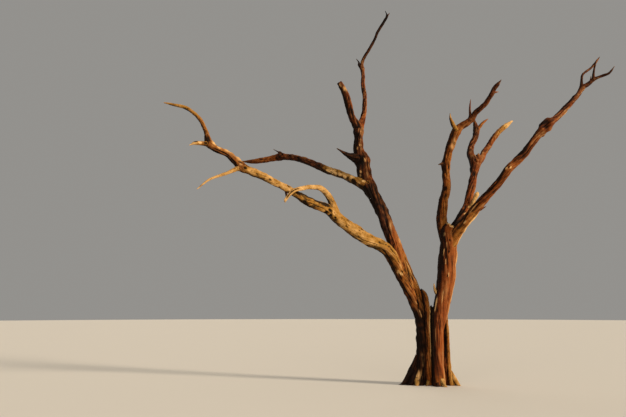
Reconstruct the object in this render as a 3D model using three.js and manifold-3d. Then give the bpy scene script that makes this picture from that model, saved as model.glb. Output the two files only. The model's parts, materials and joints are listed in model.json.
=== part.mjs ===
// A dead, bare desert thorn tree: two stems fused into one fluted trunk, wind-stripped boughs, few twigs.
// Millimetres, +Z up, X to the right of the usual view, Y away from it.
// The origin is in the flat cut under the trunk, at ground level.
import * as THREE from "three";
import { mergeVertices } from "three/addons/utils/BufferGeometryUtils.js";
import Module from "manifold-3d";

// Driving dimensions
const FORK_HEIGHT = 1450; // where the two stems part and the trunk ends
const LEFT_SPLIT = 2330; // along the left stem, where low bough and leader part
const CLEARANCE = 0.3; // between pieces that meet
const RING_STEP = 150; // between two sections of a limb
const TRUNK_RING_STEP = 240; // the same in the trunk, whose strands are nearly straight
const SWAY = { slow: 0.16, fast: 0.08, ramp: 600 }; // how far a limb sways to and from the viewer, in girths
const SWAY_WAVES = { slow: 1150, fast: 620 };
const FLUTES = { pairs: 0.055, threes: 0.04, twist: 0.0011 }; // how far a section is from round

// A limb starts on the ground (foot) or on its parent's centreline (parent, at), with a girth across.
// Each run of it is [length, lean from upright towards +X, turn away towards +Y, girth at its end]:
// millimetres and degrees. A lean past 90 hangs. A strand is calm up to where it leaves its stem.
const LIMBS = {
  left_strand: {
    foot: [-290, 40], girth: 220, calm: 2300, runs: [
      [345, 10, 0, 185], [730, 2, 2, 175], [280, -9, 2, 195], [260, -22, 2, 205], [520, -27, -2, 220],
      [290, -25, -8, 230], [270, -40, -17, 222], [525, -66, -26, 232], [310, -59, -27, 218],
      [320, -53, -26, 198], [250, -55, -26, 180], [320, -72, -28, 170], [268, -64, -25, 135],
      [321, -62, -24, 112], [196, -67, -20, 118], [245, -67, -21, 128], [240, -69, -20, 136],
      [129, -68, -18, 143], [311, -49, -13, 100], [372, -62, -15, 112],
      [234, -18, 5, 75], [278, -28, -4, 66], [261, -54, -23, 60], [233, -81, -24, 45], [149, -83, -20, 16],
    ],
  },
  leader_strand: {
    foot: [-115, 200], girth: 220, calm: 2300, runs: [
      [330, 0, -2, 204], [730, 0, -2, 196], [320, -8, -2, 206], [275, -19, 0, 216], [575, -24, 3, 230],
      [600, -21, 8, 234], [360, -18, 11, 238], [320, -19, 15, 234], [305, -26, 15, 236], [280, -20, 16, 248],
      [301, -12, 16, 262], [228, -7, 15, 276], [237, -16, 15, 184], [230, -1, 15, 155], [230, 0, 15, 185],
      [180, -25, -6, 152], [155, -28, -15, 140], [315, -16, -22, 143], [280, -28, -25, 120],
      [100, -34, -24, 98],
    ],
  },
  right_strand: {
    foot: [64, -120], girth: 250, calm: 2900, runs: [
      [360, 1, 0, 206], [660, 1, 1, 214], [290, 10, 2, 280], [220, 12, 3, 300], [265, 13, 6, 308],
      [305, 9, 6, 318], [285, 6, 4, 312], [225, 4, 3, 292], [126, -1, 0, 272], [126, 9, 0, 250],
      [97, 30, -6, 226],
    ],
  },
  middle_strand: {
    foot: [-95, -20], girth: 130, calm: 1800,
    runs: [[700, 0, 0, 92], [360, 0, 1, 96], [310, 0, 4, 105], [205, -5, 8, 102], [120, -12, 15, 84]],
  },
  right_strut: {
    foot: [310, -40], girth: 115, calm: 1400,
    runs: [[245, -9, -6, 80], [460, -2, -2, 64], [285, -1, -2, 62], [255, -4, 0, 60]],
  },
  rear_strand: {
    foot: [222, 90], girth: 200, calm: 1600,
    runs: [[350, -1, -3, 165], [500, 0, -3, 150], [420, 1, -6, 130], [260, 4, -12, 90]],
  },
  heart: { foot: [20, 50], girth: 250, calm: 1400, runs: [[600, 0, 0, 210], [740, 0, 0, 195]] },
  splinter: { parent: "right_strand", at: 1532, girth: 83, runs: [[225, -35, -3, 59], [135, -11, -4, 12]] },

  right_prong: {
    parent: "leader_strand", at: 5250, girth: 130, runs: [
      [230, 18, 17, 111], [230, 15, 18, 95], [255, 5, 18, 90], [170, 2, 14, 88], [340, -5, 14, 83],
      [135, 5, 13, 83], [155, -4, 11, 83], [150, -5, 8, 77], [180, 21, -6, 66], [140, 33, -13, 62],
      [300, 30, -17, 59], [125, 21, -19, 61], [295, 33, -14, 56], [95, 28, -18, 48], [105, -17, -11, 13],
    ],
  },
  tip_fork: { parent: "right_prong", at: 2790, girth: 42, runs: [[90, 43, -28, 11]] },
  kink_spur: {
    parent: "right_prong", at: 1565, girth: 78,
    runs: [[104, -36, 13, 58], [75, -7, 15, 36], [100, -28, 18, 12]],
  },
  leader_spur: {
    parent: "leader_strand", at: 4580, girth: 200,
    runs: [[200, -70, -14, 158], [145, -74, -33, 92], [270, -66, -31, 16]],
  },
  upper_left: {
    parent: "leader_strand", at: 3985, girth: 225, runs: [
      [215, -66, 17, 172], [400, -58, 34, 142], [520, -62, 30, 157], [375, -62, 29, 147], [365, -66, 26, 131],
      [300, -77, 23, 128], [150, -88, 23, 137], [180, -99, 19, 120], [300, -96, 19, 112], [185, -89, 19, 76],
      [170, -83, 20, 16],
    ],
  },
  knob_spur: {
    parent: "upper_left", at: 2270, girth: 124,
    runs: [[70, -5, 7, 112], [38, -25, 9, 66], [30, -55, 12, 30], [115, -58, 17, 13]],
  },

  curl: {
    parent: "left_strand", at: 3900, girth: 150, runs: [
      [182, -12, -22, 131], [137, -25, -37, 119], [168, -37, -37, 108], [160, -54, -39, 91],
      [217, -91, -35, 76], [209, -105, -35, 69], [154, -114, -31, 61], [125, -135, -23, 54],
      [123, -145, -9, 40],
    ],
  },
  under_spur: { parent: "left_strand", at: 4990, girth: 60, runs: [[175, 175, -3, 20]] },
  hanging_twig: {
    parent: "left_strand", at: 5845, girth: 94, runs: [
      [130, -114, -26, 76], [207, -123, -35, 54], [328, -118, -31, 38], [130, -130, -18, 30],
      [133, -134, -9, 14],
    ],
  },
  left_stub: {
    parent: "left_strand", at: 6500, girth: 93,
    runs: [[160, -90, -28, 74], [105, -97, -31, 60], [85, -117, -22, 17]],
  },

  left_upright: {
    parent: "right_strand", at: 2547, girth: 190, runs: [
      [220, -18, 12, 187], [199, -4, 10, 187], [229, 0, 0, 179], [171, 3, -8, 173], [330, 12, -12, 141],
      [339, -3, -14, 140], [153, 0, -20, 140], [133, 12, -18, 136], [290, 15, -16, 149], [145, 26, -16, 146],
      [135, 36, -18, 135], [208, 59, -23, 115], [95, 42, -19, 109], [86, 28, -21, 101], [226, 48, -24, 88],
      [213, 35, -20, 86], [122, 23, -20, 82], [93, 41, -26, 68], [83, 39, -23, 20],
    ],
  },
  upright_knob: {
    parent: "left_upright", at: 1606, girth: 92,
    runs: [[93, -92, -20, 59], [70, -105, -25, 15]],
  },
  upright_thorn: {
    parent: "left_upright", at: 2230, girth: 110,
    runs: [[90, -34, -36, 90], [125, -34, -28, 73], [85, -30, -28, 47], [85, -7, -21, 15]],
  },
  upright_needle: {
    parent: "left_upright", at: 2587, girth: 82,
    runs: [[90, -3, 8, 58], [100, -1, 11, 40], [95, 5, 12, 31], [140, 10, 8, 10]],
  },
  upright_barb: { parent: "left_upright", at: 3202, girth: 47, runs: [[84, 74, 22, 29], [55, 74, 22, 10]] },

  middle: {
    parent: "right_strand", at: 2590, girth: 180, runs: [
      [220, 26, 18, 179], [202, 23, 15, 172], [206, 32, 24, 153], [227, 33, 21, 130], [195, 30, 23, 140],
      [183, 21, 22, 160], [184, 17, 22, 158], [350, 16, 24, 144], [175, 12, 24, 169], [140, -9, 17, 169],
      [125, -9, 23, 158], [125, 4, 23, 142], [140, 18, 21, 123], [150, 28, 20, 119], [145, 19, 20, 124],
      [160, 6, 22, 104], [105, -1, 22, 83], [100, -1, 17, 30],
    ],
  },
  middle_stub: {
    parent: "middle", at: 880, girth: 60,
    runs: [[122, 67, -12, 62], [137, 28, -6, 80], [122, 27, 0, 94], [22, 27, 0, 60]],
  },
  middle_fork: {
    parent: "middle", at: 1870, girth: 140, runs: [
      [195, 37, 23, 131], [145, 37, 24, 122], [165, 31, 25, 118], [200, 36, 27, 117], [230, 35, 26, 110],
      [225, 39, 26, 105], [200, 46, 27, 101], [200, 51, 27, 89], [195, 52, 24, 30],
    ],
  },
  middle_twig: {
    parent: "middle", at: 2765, girth: 83,
    runs: [[135, 27, 20, 73], [135, 37, 22, 62], [125, 45, 19, 46], [120, 53, 20, 15]],
  },

  right: {
    parent: "right_strand", at: 2479, girth: 200, runs: [
      [191, 27, -9, 211], [211, 25, -11, 205], [239, 37, -20, 195], [219, 39, -18, 190], [168, 39, -21, 181],
      [161, 41, -18, 166], [340, 41, -19, 147], [190, 36, -16, 146], [145, 34, -16, 146], [140, 45, -12, 140],
      [165, 48, -14, 151], [120, 43, -10, 144], [130, 33, -4, 129], [310, 38, -4, 138], [115, 40, 0, 164],
      [115, 47, 0, 171], [160, 53, 7, 113], [350, 47, 12, 100], [285, 44, 16, 91], [170, 44, 21, 86],
      [155, 37, 23, 87], [75, 42, 8, 87], [75, 61, -8, 72], [80, 53, -14, 68], [75, 49, -16, 60],
      [190, 70, -18, 47], [90, 74, -27, 41], [65, 44, -27, 34], [85, 32, -21, 10],
    ],
  },
  right_flake: { parent: "right", at: 900, girth: 60, runs: [[125, 80, -12, 42], [105, 62, -14, 12]] },
  right_loop: {
    parent: "right", at: 4092, girth: 75, runs: [
      [140, 11, 20, 51], [110, 13, 21, 46], [120, 25, 24, 42], [290, 51, 25, 40], [150, 46, 24, 43],
      [145, 39, 24, 35], [120, 40, 20, 10],
    ],
  },
  right_twig: {
    parent: "right", at: 4378, girth: 53,
    runs: [[115, 1, -10, 38], [165, 9, -14, 30], [95, 20, -6, 10]],
  },
  right_hair: { parent: "right", at: 4303, girth: 34, runs: [[130, 13, 8, 10]] },
  fork_knob: {
    parent: "middle", at: 1960, girth: 120,
    runs: [[120, 22, 20, 116], [120, 27, 20, 94], [55, 27, 20, 36]],
  },
};

// Root toes spread from a strand's foot: [strand, bearing from +X, reach, height where it leaves, girth].
const TOES = [
  ["left_strand", 176, 345, 540, 150],
  ["left_strand", 252, 150, 240, 130],
  ["leader_strand", 120, 280, 300, 150],
  ["rear_strand", 62, 260, 280, 140],
  ["right_strut", 340, 175, 260, 110],
  ["right_strut", 25, 150, 200, 90],
  ["right_strand", 300, 230, 230, 130],
  ["right_strand", 252, 170, 180, 130],
  ["middle_strand", 235, 130, 160, 90],
  ["left_strand", 190, 215, 330, 170],
];

const UP = new THREE.Vector3(0, 0, 1);
const AWAY = new THREE.Vector3(0, 1, 0);
const wasm = await Module();
wasm.setup();

// The heading of a run that leans sideways and turns away from the viewer.
function heading(lean, turn) {
  const a = THREE.MathUtils.degToRad(lean);
  const b = THREE.MathUtils.degToRad(turn);
  return new THREE.Vector3(Math.sin(a) * Math.cos(b), Math.sin(b), Math.cos(a) * Math.cos(b));
}

// Two waves of different length, so that no limb sways in a regular beat.
function sway(distance, phase) {
  const turns = 2 * Math.PI * distance;
  const slow = SWAY.slow * Math.sin(turns / SWAY_WAVES.slow + phase);
  const fast = SWAY.fast * Math.sin(turns / SWAY_WAVES.fast + 2.3 * phase);
  return slow + fast;
}

// Walks a limb's runs from its start, and keeps its joints, the distance along it and the girth at each.
function walk(name, index, grown) {
  const { foot, parent, at, girth, calm = 0, runs } = LIMBS[name];
  let place = foot ? new THREE.Vector3(foot[0], foot[1], 0) : pointAt(grown.get(parent), at);
  const limb = { joints: [place], along: [0], girths: [girth], across: AWAY, phase: index * 1.7 };
  let distance = 0;
  const walked = place.clone();
  runs.forEach(([length, lean, turn, endGirth]) => {
    distance += length;
    walked.addScaledVector(heading(lean, turn), length);
    place = walked.clone();
    const ramp = THREE.MathUtils.clamp((distance - calm) / SWAY.ramp, 0, 1);
    place.y += endGirth * ramp * sway(distance, limb.phase);
    limb.joints.push(place);
    limb.along.push(distance);
    limb.girths.push(endGirth);
  });
  limb.curve = new THREE.CatmullRomCurve3(limb.joints);
  return limb;
}

// A root toe: out along its bearing while it drops on a hollow curve to just under the ground. It is
// slender where it leaves the strand, fullest a third of the way out, and thin again at its end.
function toe([strand, bearing, reach, rise, girth], index, grown) {
  const start = grown.get(strand).joints[0];
  const angle = THREE.MathUtils.degToRad(bearing);
  const out = new THREE.Vector3(Math.cos(angle), Math.sin(angle), 0);
  const across = new THREE.Vector3().crossVectors(UP, out);
  const limb = { joints: [], along: [], girths: [], across, phase: index };
  const steps = 6;
  for (let i = 0; i <= steps; i++) {
    const t = i / steps;
    const place = start.clone().addScaledVector(out, reach * t);
    place.z = rise * (1 - t) ** 1.8 - 0.25 * girth * t;
    limb.joints.push(place);
    limb.along.push(reach * t);
    limb.girths.push(girth * Math.min(1, 0.4 + 1.8 * t) * (1 - 0.55 * t));
  }
  limb.curve = new THREE.CatmullRomCurve3(limb.joints);
  return limb;
}

// How many joints along a limb a distance is: a whole number at each joint, a share between two.
function jointsAlong({ along }, distance) {
  let i = 0;
  while (i < along.length - 2 && along[i + 1] < distance) i++;
  return i + THREE.MathUtils.clamp((distance - along[i]) / (along[i + 1] - along[i]), 0, 1);
}

function pointAt(limb, distance) {
  return limb.curve.getPoint(jointsAlong(limb, distance) / (limb.joints.length - 1));
}

function girthAt(limb, distance) {
  const place = jointsAlong(limb, distance);
  const i = Math.min(Math.floor(place), limb.girths.length - 2);
  return THREE.MathUtils.lerp(limb.girths[i], limb.girths[i + 1], place - i);
}

// The slope of a limb's centreline, from two points a third of a girth to each side.
function tangentAt(limb, distance) {
  const last = limb.along[limb.along.length - 1];
  const reach = girthAt(limb, distance) / 3;
  const low = Math.max(0, distance - reach);
  const high = Math.min(last, distance + reach);
  return pointAt(limb, high).sub(pointAt(limb, low)).normalize();
}

// The closed skin of a stretch of a limb: rings of fluted sections along its centreline, a cap at each end.
// grow makes it that much larger all round, to cut a neighbour clear.
function stretch(limb, from, to, grow = 0, step = RING_STEP) {
  const widest = Math.max(girthAt(limb, from), girthAt(limb, (from + to) / 2));
  const sides = widest > 125 ? 12 : widest > 75 ? 9 : 6;
  const rings = Math.max(3, Math.ceil((to - from) / step) + 1);
  const points = [];
  const faces = [];
  const side = new THREE.Vector3();
  const other = new THREE.Vector3();
  for (let i = 0; i < rings; i++) {
    const distance = from + ((to - from) * i) / (rings - 1);
    const tangent = tangentAt(limb, distance);
    side.crossVectors(limb.across, tangent).normalize();
    other.crossVectors(tangent, side);
    const centre = pointAt(limb, distance);
    if (i === 0) centre.addScaledVector(tangent, -grow);
    if (i === rings - 1) centre.addScaledVector(tangent, grow);
    for (let k = 0; k < sides; k++) {
      const angle = (2 * Math.PI * k) / sides;
      const flute = 1
        + FLUTES.pairs * Math.cos(2 * angle + limb.phase + FLUTES.twist * distance)
        + FLUTES.threes * Math.cos(3 * angle + 2 * limb.phase - FLUTES.twist * distance);
      const radius = (girthAt(limb, distance) / 2) * flute + grow;
      const point = centre.clone();
      point.addScaledVector(side, radius * Math.cos(angle));
      point.addScaledVector(other, radius * Math.sin(angle));
      points.push(point);
    }
    if (i === 0 || i === rings - 1) points.push(centre.clone());
  }
  // the first ring is followed by its centre, so every later ring starts one place on
  const ring = (i) => (i === 0 ? 0 : i * sides + 1);
  const lastCentre = points.length - 1;
  for (let k = 0; k < sides; k++) {
    const next = (k + 1) % sides;
    faces.push(sides, next, k);
    faces.push(lastCentre, ring(rings - 1) + k, ring(rings - 1) + next);
    for (let i = 0; i < rings - 1; i++) {
      const [a, b] = [ring(i) + k, ring(i) + next];
      const [c, d] = [ring(i + 1) + k, ring(i + 1) + next];
      faces.push(a, b, d, a, d, c);
    }
  }
  const geometry = new THREE.BufferGeometry().setFromPoints(points);
  geometry.setIndex(faces);
  return solidOf(geometry);
}

function solidOf(geometry) {
  geometry.deleteAttribute("normal");
  geometry.deleteAttribute("uv");
  const merged = mergeVertices(geometry, 1e-4);
  return new wasm.Manifold(new wasm.Mesh({
    numProp: 3,
    vertProperties: new Float32Array(merged.attributes.position.array),
    triVerts: new Uint32Array(merged.index.array),
  }));
}

// A block wide enough to take in the whole tree, between two heights.
function layer(bottom, top) {
  const span = 12000;
  const box = new THREE.BoxGeometry(span, span, top - bottom);
  box.translate(0, 0, (bottom + top) / 2);
  return solidOf(box);
}

function largestPiece(solid) {
  const pieces = solid.decompose();
  return pieces.reduce((best, piece) => (piece.volume() > best.volume() ? piece : best));
}

function geometryOf(solid) {
  const mesh = solid.getMesh();
  const geometry = new THREE.BufferGeometry();
  geometry.setAttribute("position", new THREE.BufferAttribute(new Float32Array(mesh.vertProperties), 3));
  geometry.setIndex(new THREE.BufferAttribute(new Uint32Array(mesh.triVerts), 1));
  geometry.computeVertexNormals();
  return geometry;
}

// Weathered wood: dull, never metallic, paler where sun and blown sand have stripped it.
function wood(color, roughness) {
  return new THREE.MeshStandardMaterial({ color, roughness, metalness: 0 });
}
const TRUNK_WOOD = wood(0x7a4526, 0.85);
const BOUGH_WOOD = wood(0x5b3a2c, 0.88);
const BLEACHED_WOOD = wood(0xb08a52, 0.82);
const TWIG_WOOD = wood(0x6b4a36, 0.9);

const tree = new THREE.Group();
tree.name = "dead_tree";
const grown = new Map();
Object.keys(LIMBS).forEach((name, index) => grown.set(name, walk(name, index, grown)));
TOES.forEach((row, index) => grown.set(`toe_${index}`, toe(row, index, grown)));

const lengthOf = (name) => grown.get(name).along[grown.get(name).along.length - 1];
const whole = (name) => [name, 0, lengthOf(name)];
const placed = [];

// Joins stretches of limbs, [limb, from, to], into one piece, cuts it clear of the pieces it grows from,
// and keeps what lies in its own layer of heights.
function addPiece(name, material, stretches, heights, step) {
  const joined = (grow) => stretches
    .map(([limb, from, to]) => stretch(grown.get(limb), from, to, grow, step))
    .reduce((sum, solid) => sum.add(solid));
  let solid = joined(0);
  let skin = joined(CLEARANCE);
  if (heights) {
    const [bottom, top] = heights;
    solid = solid.intersect(layer(bottom, top));
    skin = skin.intersect(layer(bottom - CLEARANCE, top + CLEARANCE));
  }
  for (const earlier of placed) solid = solid.subtract(earlier);
  placed.push(skin);
  const mesh = new THREE.Mesh(geometryOf(largestPiece(solid)), material);
  mesh.name = name;
  tree.add(mesh);
}

const OVER = FORK_HEIGHT - 300; // strands are taken up again below the fork and cut level
const FULL_HEIGHT = 8000;

function addTrunkAndStems() {
  const strands = ["left_strand", "leader_strand", "right_strand", "middle_strand"];
  const columns = strands.map((name) => [name, 0, FORK_HEIGHT + 250]);
  const inner = ["right_strut", "rear_strand", "heart"].map(whole);
  const toes = TOES.map((row, index) => whole(`toe_${index}`));
  addPiece("trunk", TRUNK_WOOD, [...columns, ...inner, ...toes], [0, FORK_HEIGHT], TRUNK_RING_STEP);
  const above = [FORK_HEIGHT + CLEARANCE, FULL_HEIGHT];
  const leftStrands = [["left_strand", OVER, LEFT_SPLIT], ["leader_strand", OVER, LEFT_SPLIT + 120],
    ["middle_strand", OVER, lengthOf("middle_strand")]];
  addPiece("left_stem", TRUNK_WOOD, leftStrands, above);
  const rightStrands = [["right_strand", OVER, lengthOf("right_strand")], whole("splinter")];
  addPiece("right_stem", TRUNK_WOOD, rightStrands, above);
}

function addLeftCrown() {
  addPiece("low_bough", BLEACHED_WOOD,
    [["left_strand", LEFT_SPLIT + CLEARANCE, 5825], whole("under_spur")]);
  addPiece("low_bough_end", BLEACHED_WOOD, [["left_strand", 5825 + CLEARANCE, 6480]]);
  addPiece("low_bough_curl", BLEACHED_WOOD, [whole("curl")]);
  addPiece("hanging_twig", BLEACHED_WOOD, [whole("hanging_twig")]);
  addPiece("far_left_twigs", TWIG_WOOD,
    [["left_strand", 6480 + CLEARANCE, lengthOf("left_strand")], whole("left_stub")]);
  addPiece("leader", BOUGH_WOOD,
    [["leader_strand", LEFT_SPLIT + 120 + CLEARANCE, 5300], whole("leader_spur")]);
  addPiece("upper_left_bough", BOUGH_WOOD, [whole("upper_left"), whole("knob_spur")]);
  addPiece("leader_left_prong", BOUGH_WOOD, [["leader_strand", 5300 + CLEARANCE, lengthOf("leader_strand")]]);
  addPiece("leader_right_prong", BOUGH_WOOD, [["right_prong", 0, 1665], whole("kink_spur")]);
  addPiece("crown_tip_twigs", TWIG_WOOD,
    [["right_prong", 1665 + CLEARANCE, lengthOf("right_prong")], whole("tip_fork")]);
}

function addRightCrown() {
  addPiece("right_bough", BOUGH_WOOD, [["right", 0, 2955], whole("right_flake")]);
  addPiece("left_upright_bough", BOUGH_WOOD,
    [["left_upright", 0, 2300], whole("upright_knob"), whole("upright_thorn")]);
  addPiece("left_upright_end", BOUGH_WOOD, [["left_upright", 2300 + CLEARANCE, lengthOf("left_upright")],
    whole("upright_needle"), whole("upright_barb")]);
  addPiece("middle_bough", BOUGH_WOOD, [["middle", 0, 1990], whole("middle_stub")]);
  addPiece("middle_bough_prong", BOUGH_WOOD,
    [["middle", 1990 + CLEARANCE, lengthOf("middle")], whole("middle_twig")]);
  addPiece("middle_bough_fork", BOUGH_WOOD, [whole("middle_fork"), whole("fork_knob")]);
  addPiece("right_bough_upper", BOUGH_WOOD, [["right", 2955 + CLEARANCE, 4075]]);
  addPiece("right_end_twigs", TWIG_WOOD, [["right", 4075 + CLEARANCE, lengthOf("right")],
    whole("right_loop"), whole("right_twig"), whole("right_hair")]);
}

addTrunkAndStems();
addLeftCrown();
addRightCrown();

export default tree;
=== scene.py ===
"""Grows the wood of a dead desert thorn tree round its solid model.

Each limb is a centreline walked from named runs, as in the part's own source. Its skin is worked out on a
grid of distance along the limb and angle round it: plain section, fillets where it meets other limbs,
then the weathered relief. Metres, +Z up, X to the right of the usual view, Y away from it.
"""
import itertools
import json
import math

import bpy
import numpy as np
from bpy.props import FloatProperty, FloatVectorProperty, PointerProperty
from bpy.types import Operator, Panel, PropertyGroup
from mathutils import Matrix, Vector

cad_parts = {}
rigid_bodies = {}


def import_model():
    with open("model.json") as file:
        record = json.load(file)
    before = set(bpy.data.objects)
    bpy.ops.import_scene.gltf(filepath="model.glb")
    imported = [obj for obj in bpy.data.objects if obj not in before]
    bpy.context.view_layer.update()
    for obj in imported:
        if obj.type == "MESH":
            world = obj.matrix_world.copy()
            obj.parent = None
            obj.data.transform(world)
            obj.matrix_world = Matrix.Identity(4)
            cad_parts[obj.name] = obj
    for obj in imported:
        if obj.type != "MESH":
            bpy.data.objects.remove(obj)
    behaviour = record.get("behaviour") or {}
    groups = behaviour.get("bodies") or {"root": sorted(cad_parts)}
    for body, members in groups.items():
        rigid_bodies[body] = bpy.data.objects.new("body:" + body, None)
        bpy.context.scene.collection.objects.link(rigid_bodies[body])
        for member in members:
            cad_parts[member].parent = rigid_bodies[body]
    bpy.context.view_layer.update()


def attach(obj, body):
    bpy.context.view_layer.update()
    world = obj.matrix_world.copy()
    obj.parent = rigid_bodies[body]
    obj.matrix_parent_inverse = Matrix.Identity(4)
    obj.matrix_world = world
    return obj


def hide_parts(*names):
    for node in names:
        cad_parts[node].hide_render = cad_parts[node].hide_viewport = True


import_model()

bl_info = {
    "name": "Dead thorn tree",
    "version": (1, 0, 0),
    "blender": (4, 5, 0),
    "location": "View3D > Sidebar > Tree",
    "description": "Grows the weathered wood of a dead desert thorn tree round its solid model",
    "category": "Add Mesh",
}

MM = 0.001
FULL_TURN = 2 * math.pi

# How the source grows a limb: its sway to and from the viewer, in girths over millimetres along it, and
# how far its section is from round.
SWAY_SLOW, SWAY_FAST, SWAY_RAMP = 0.16, 0.08, 600
SWAY_WAVE_SLOW, SWAY_WAVE_FAST = 1150, 620
FLUTE_PAIRS, FLUTE_THREES, FLUTE_TWIST = 0.055, 0.04, 0.0011
PHASE_STEP, FAST_PHASE = 1.7, 2.3   # from limb to limb, and the fast sway's phase in the slow one's
FORK_HEIGHT = 1450                  # where the trunk ends and the stems begin

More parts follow.
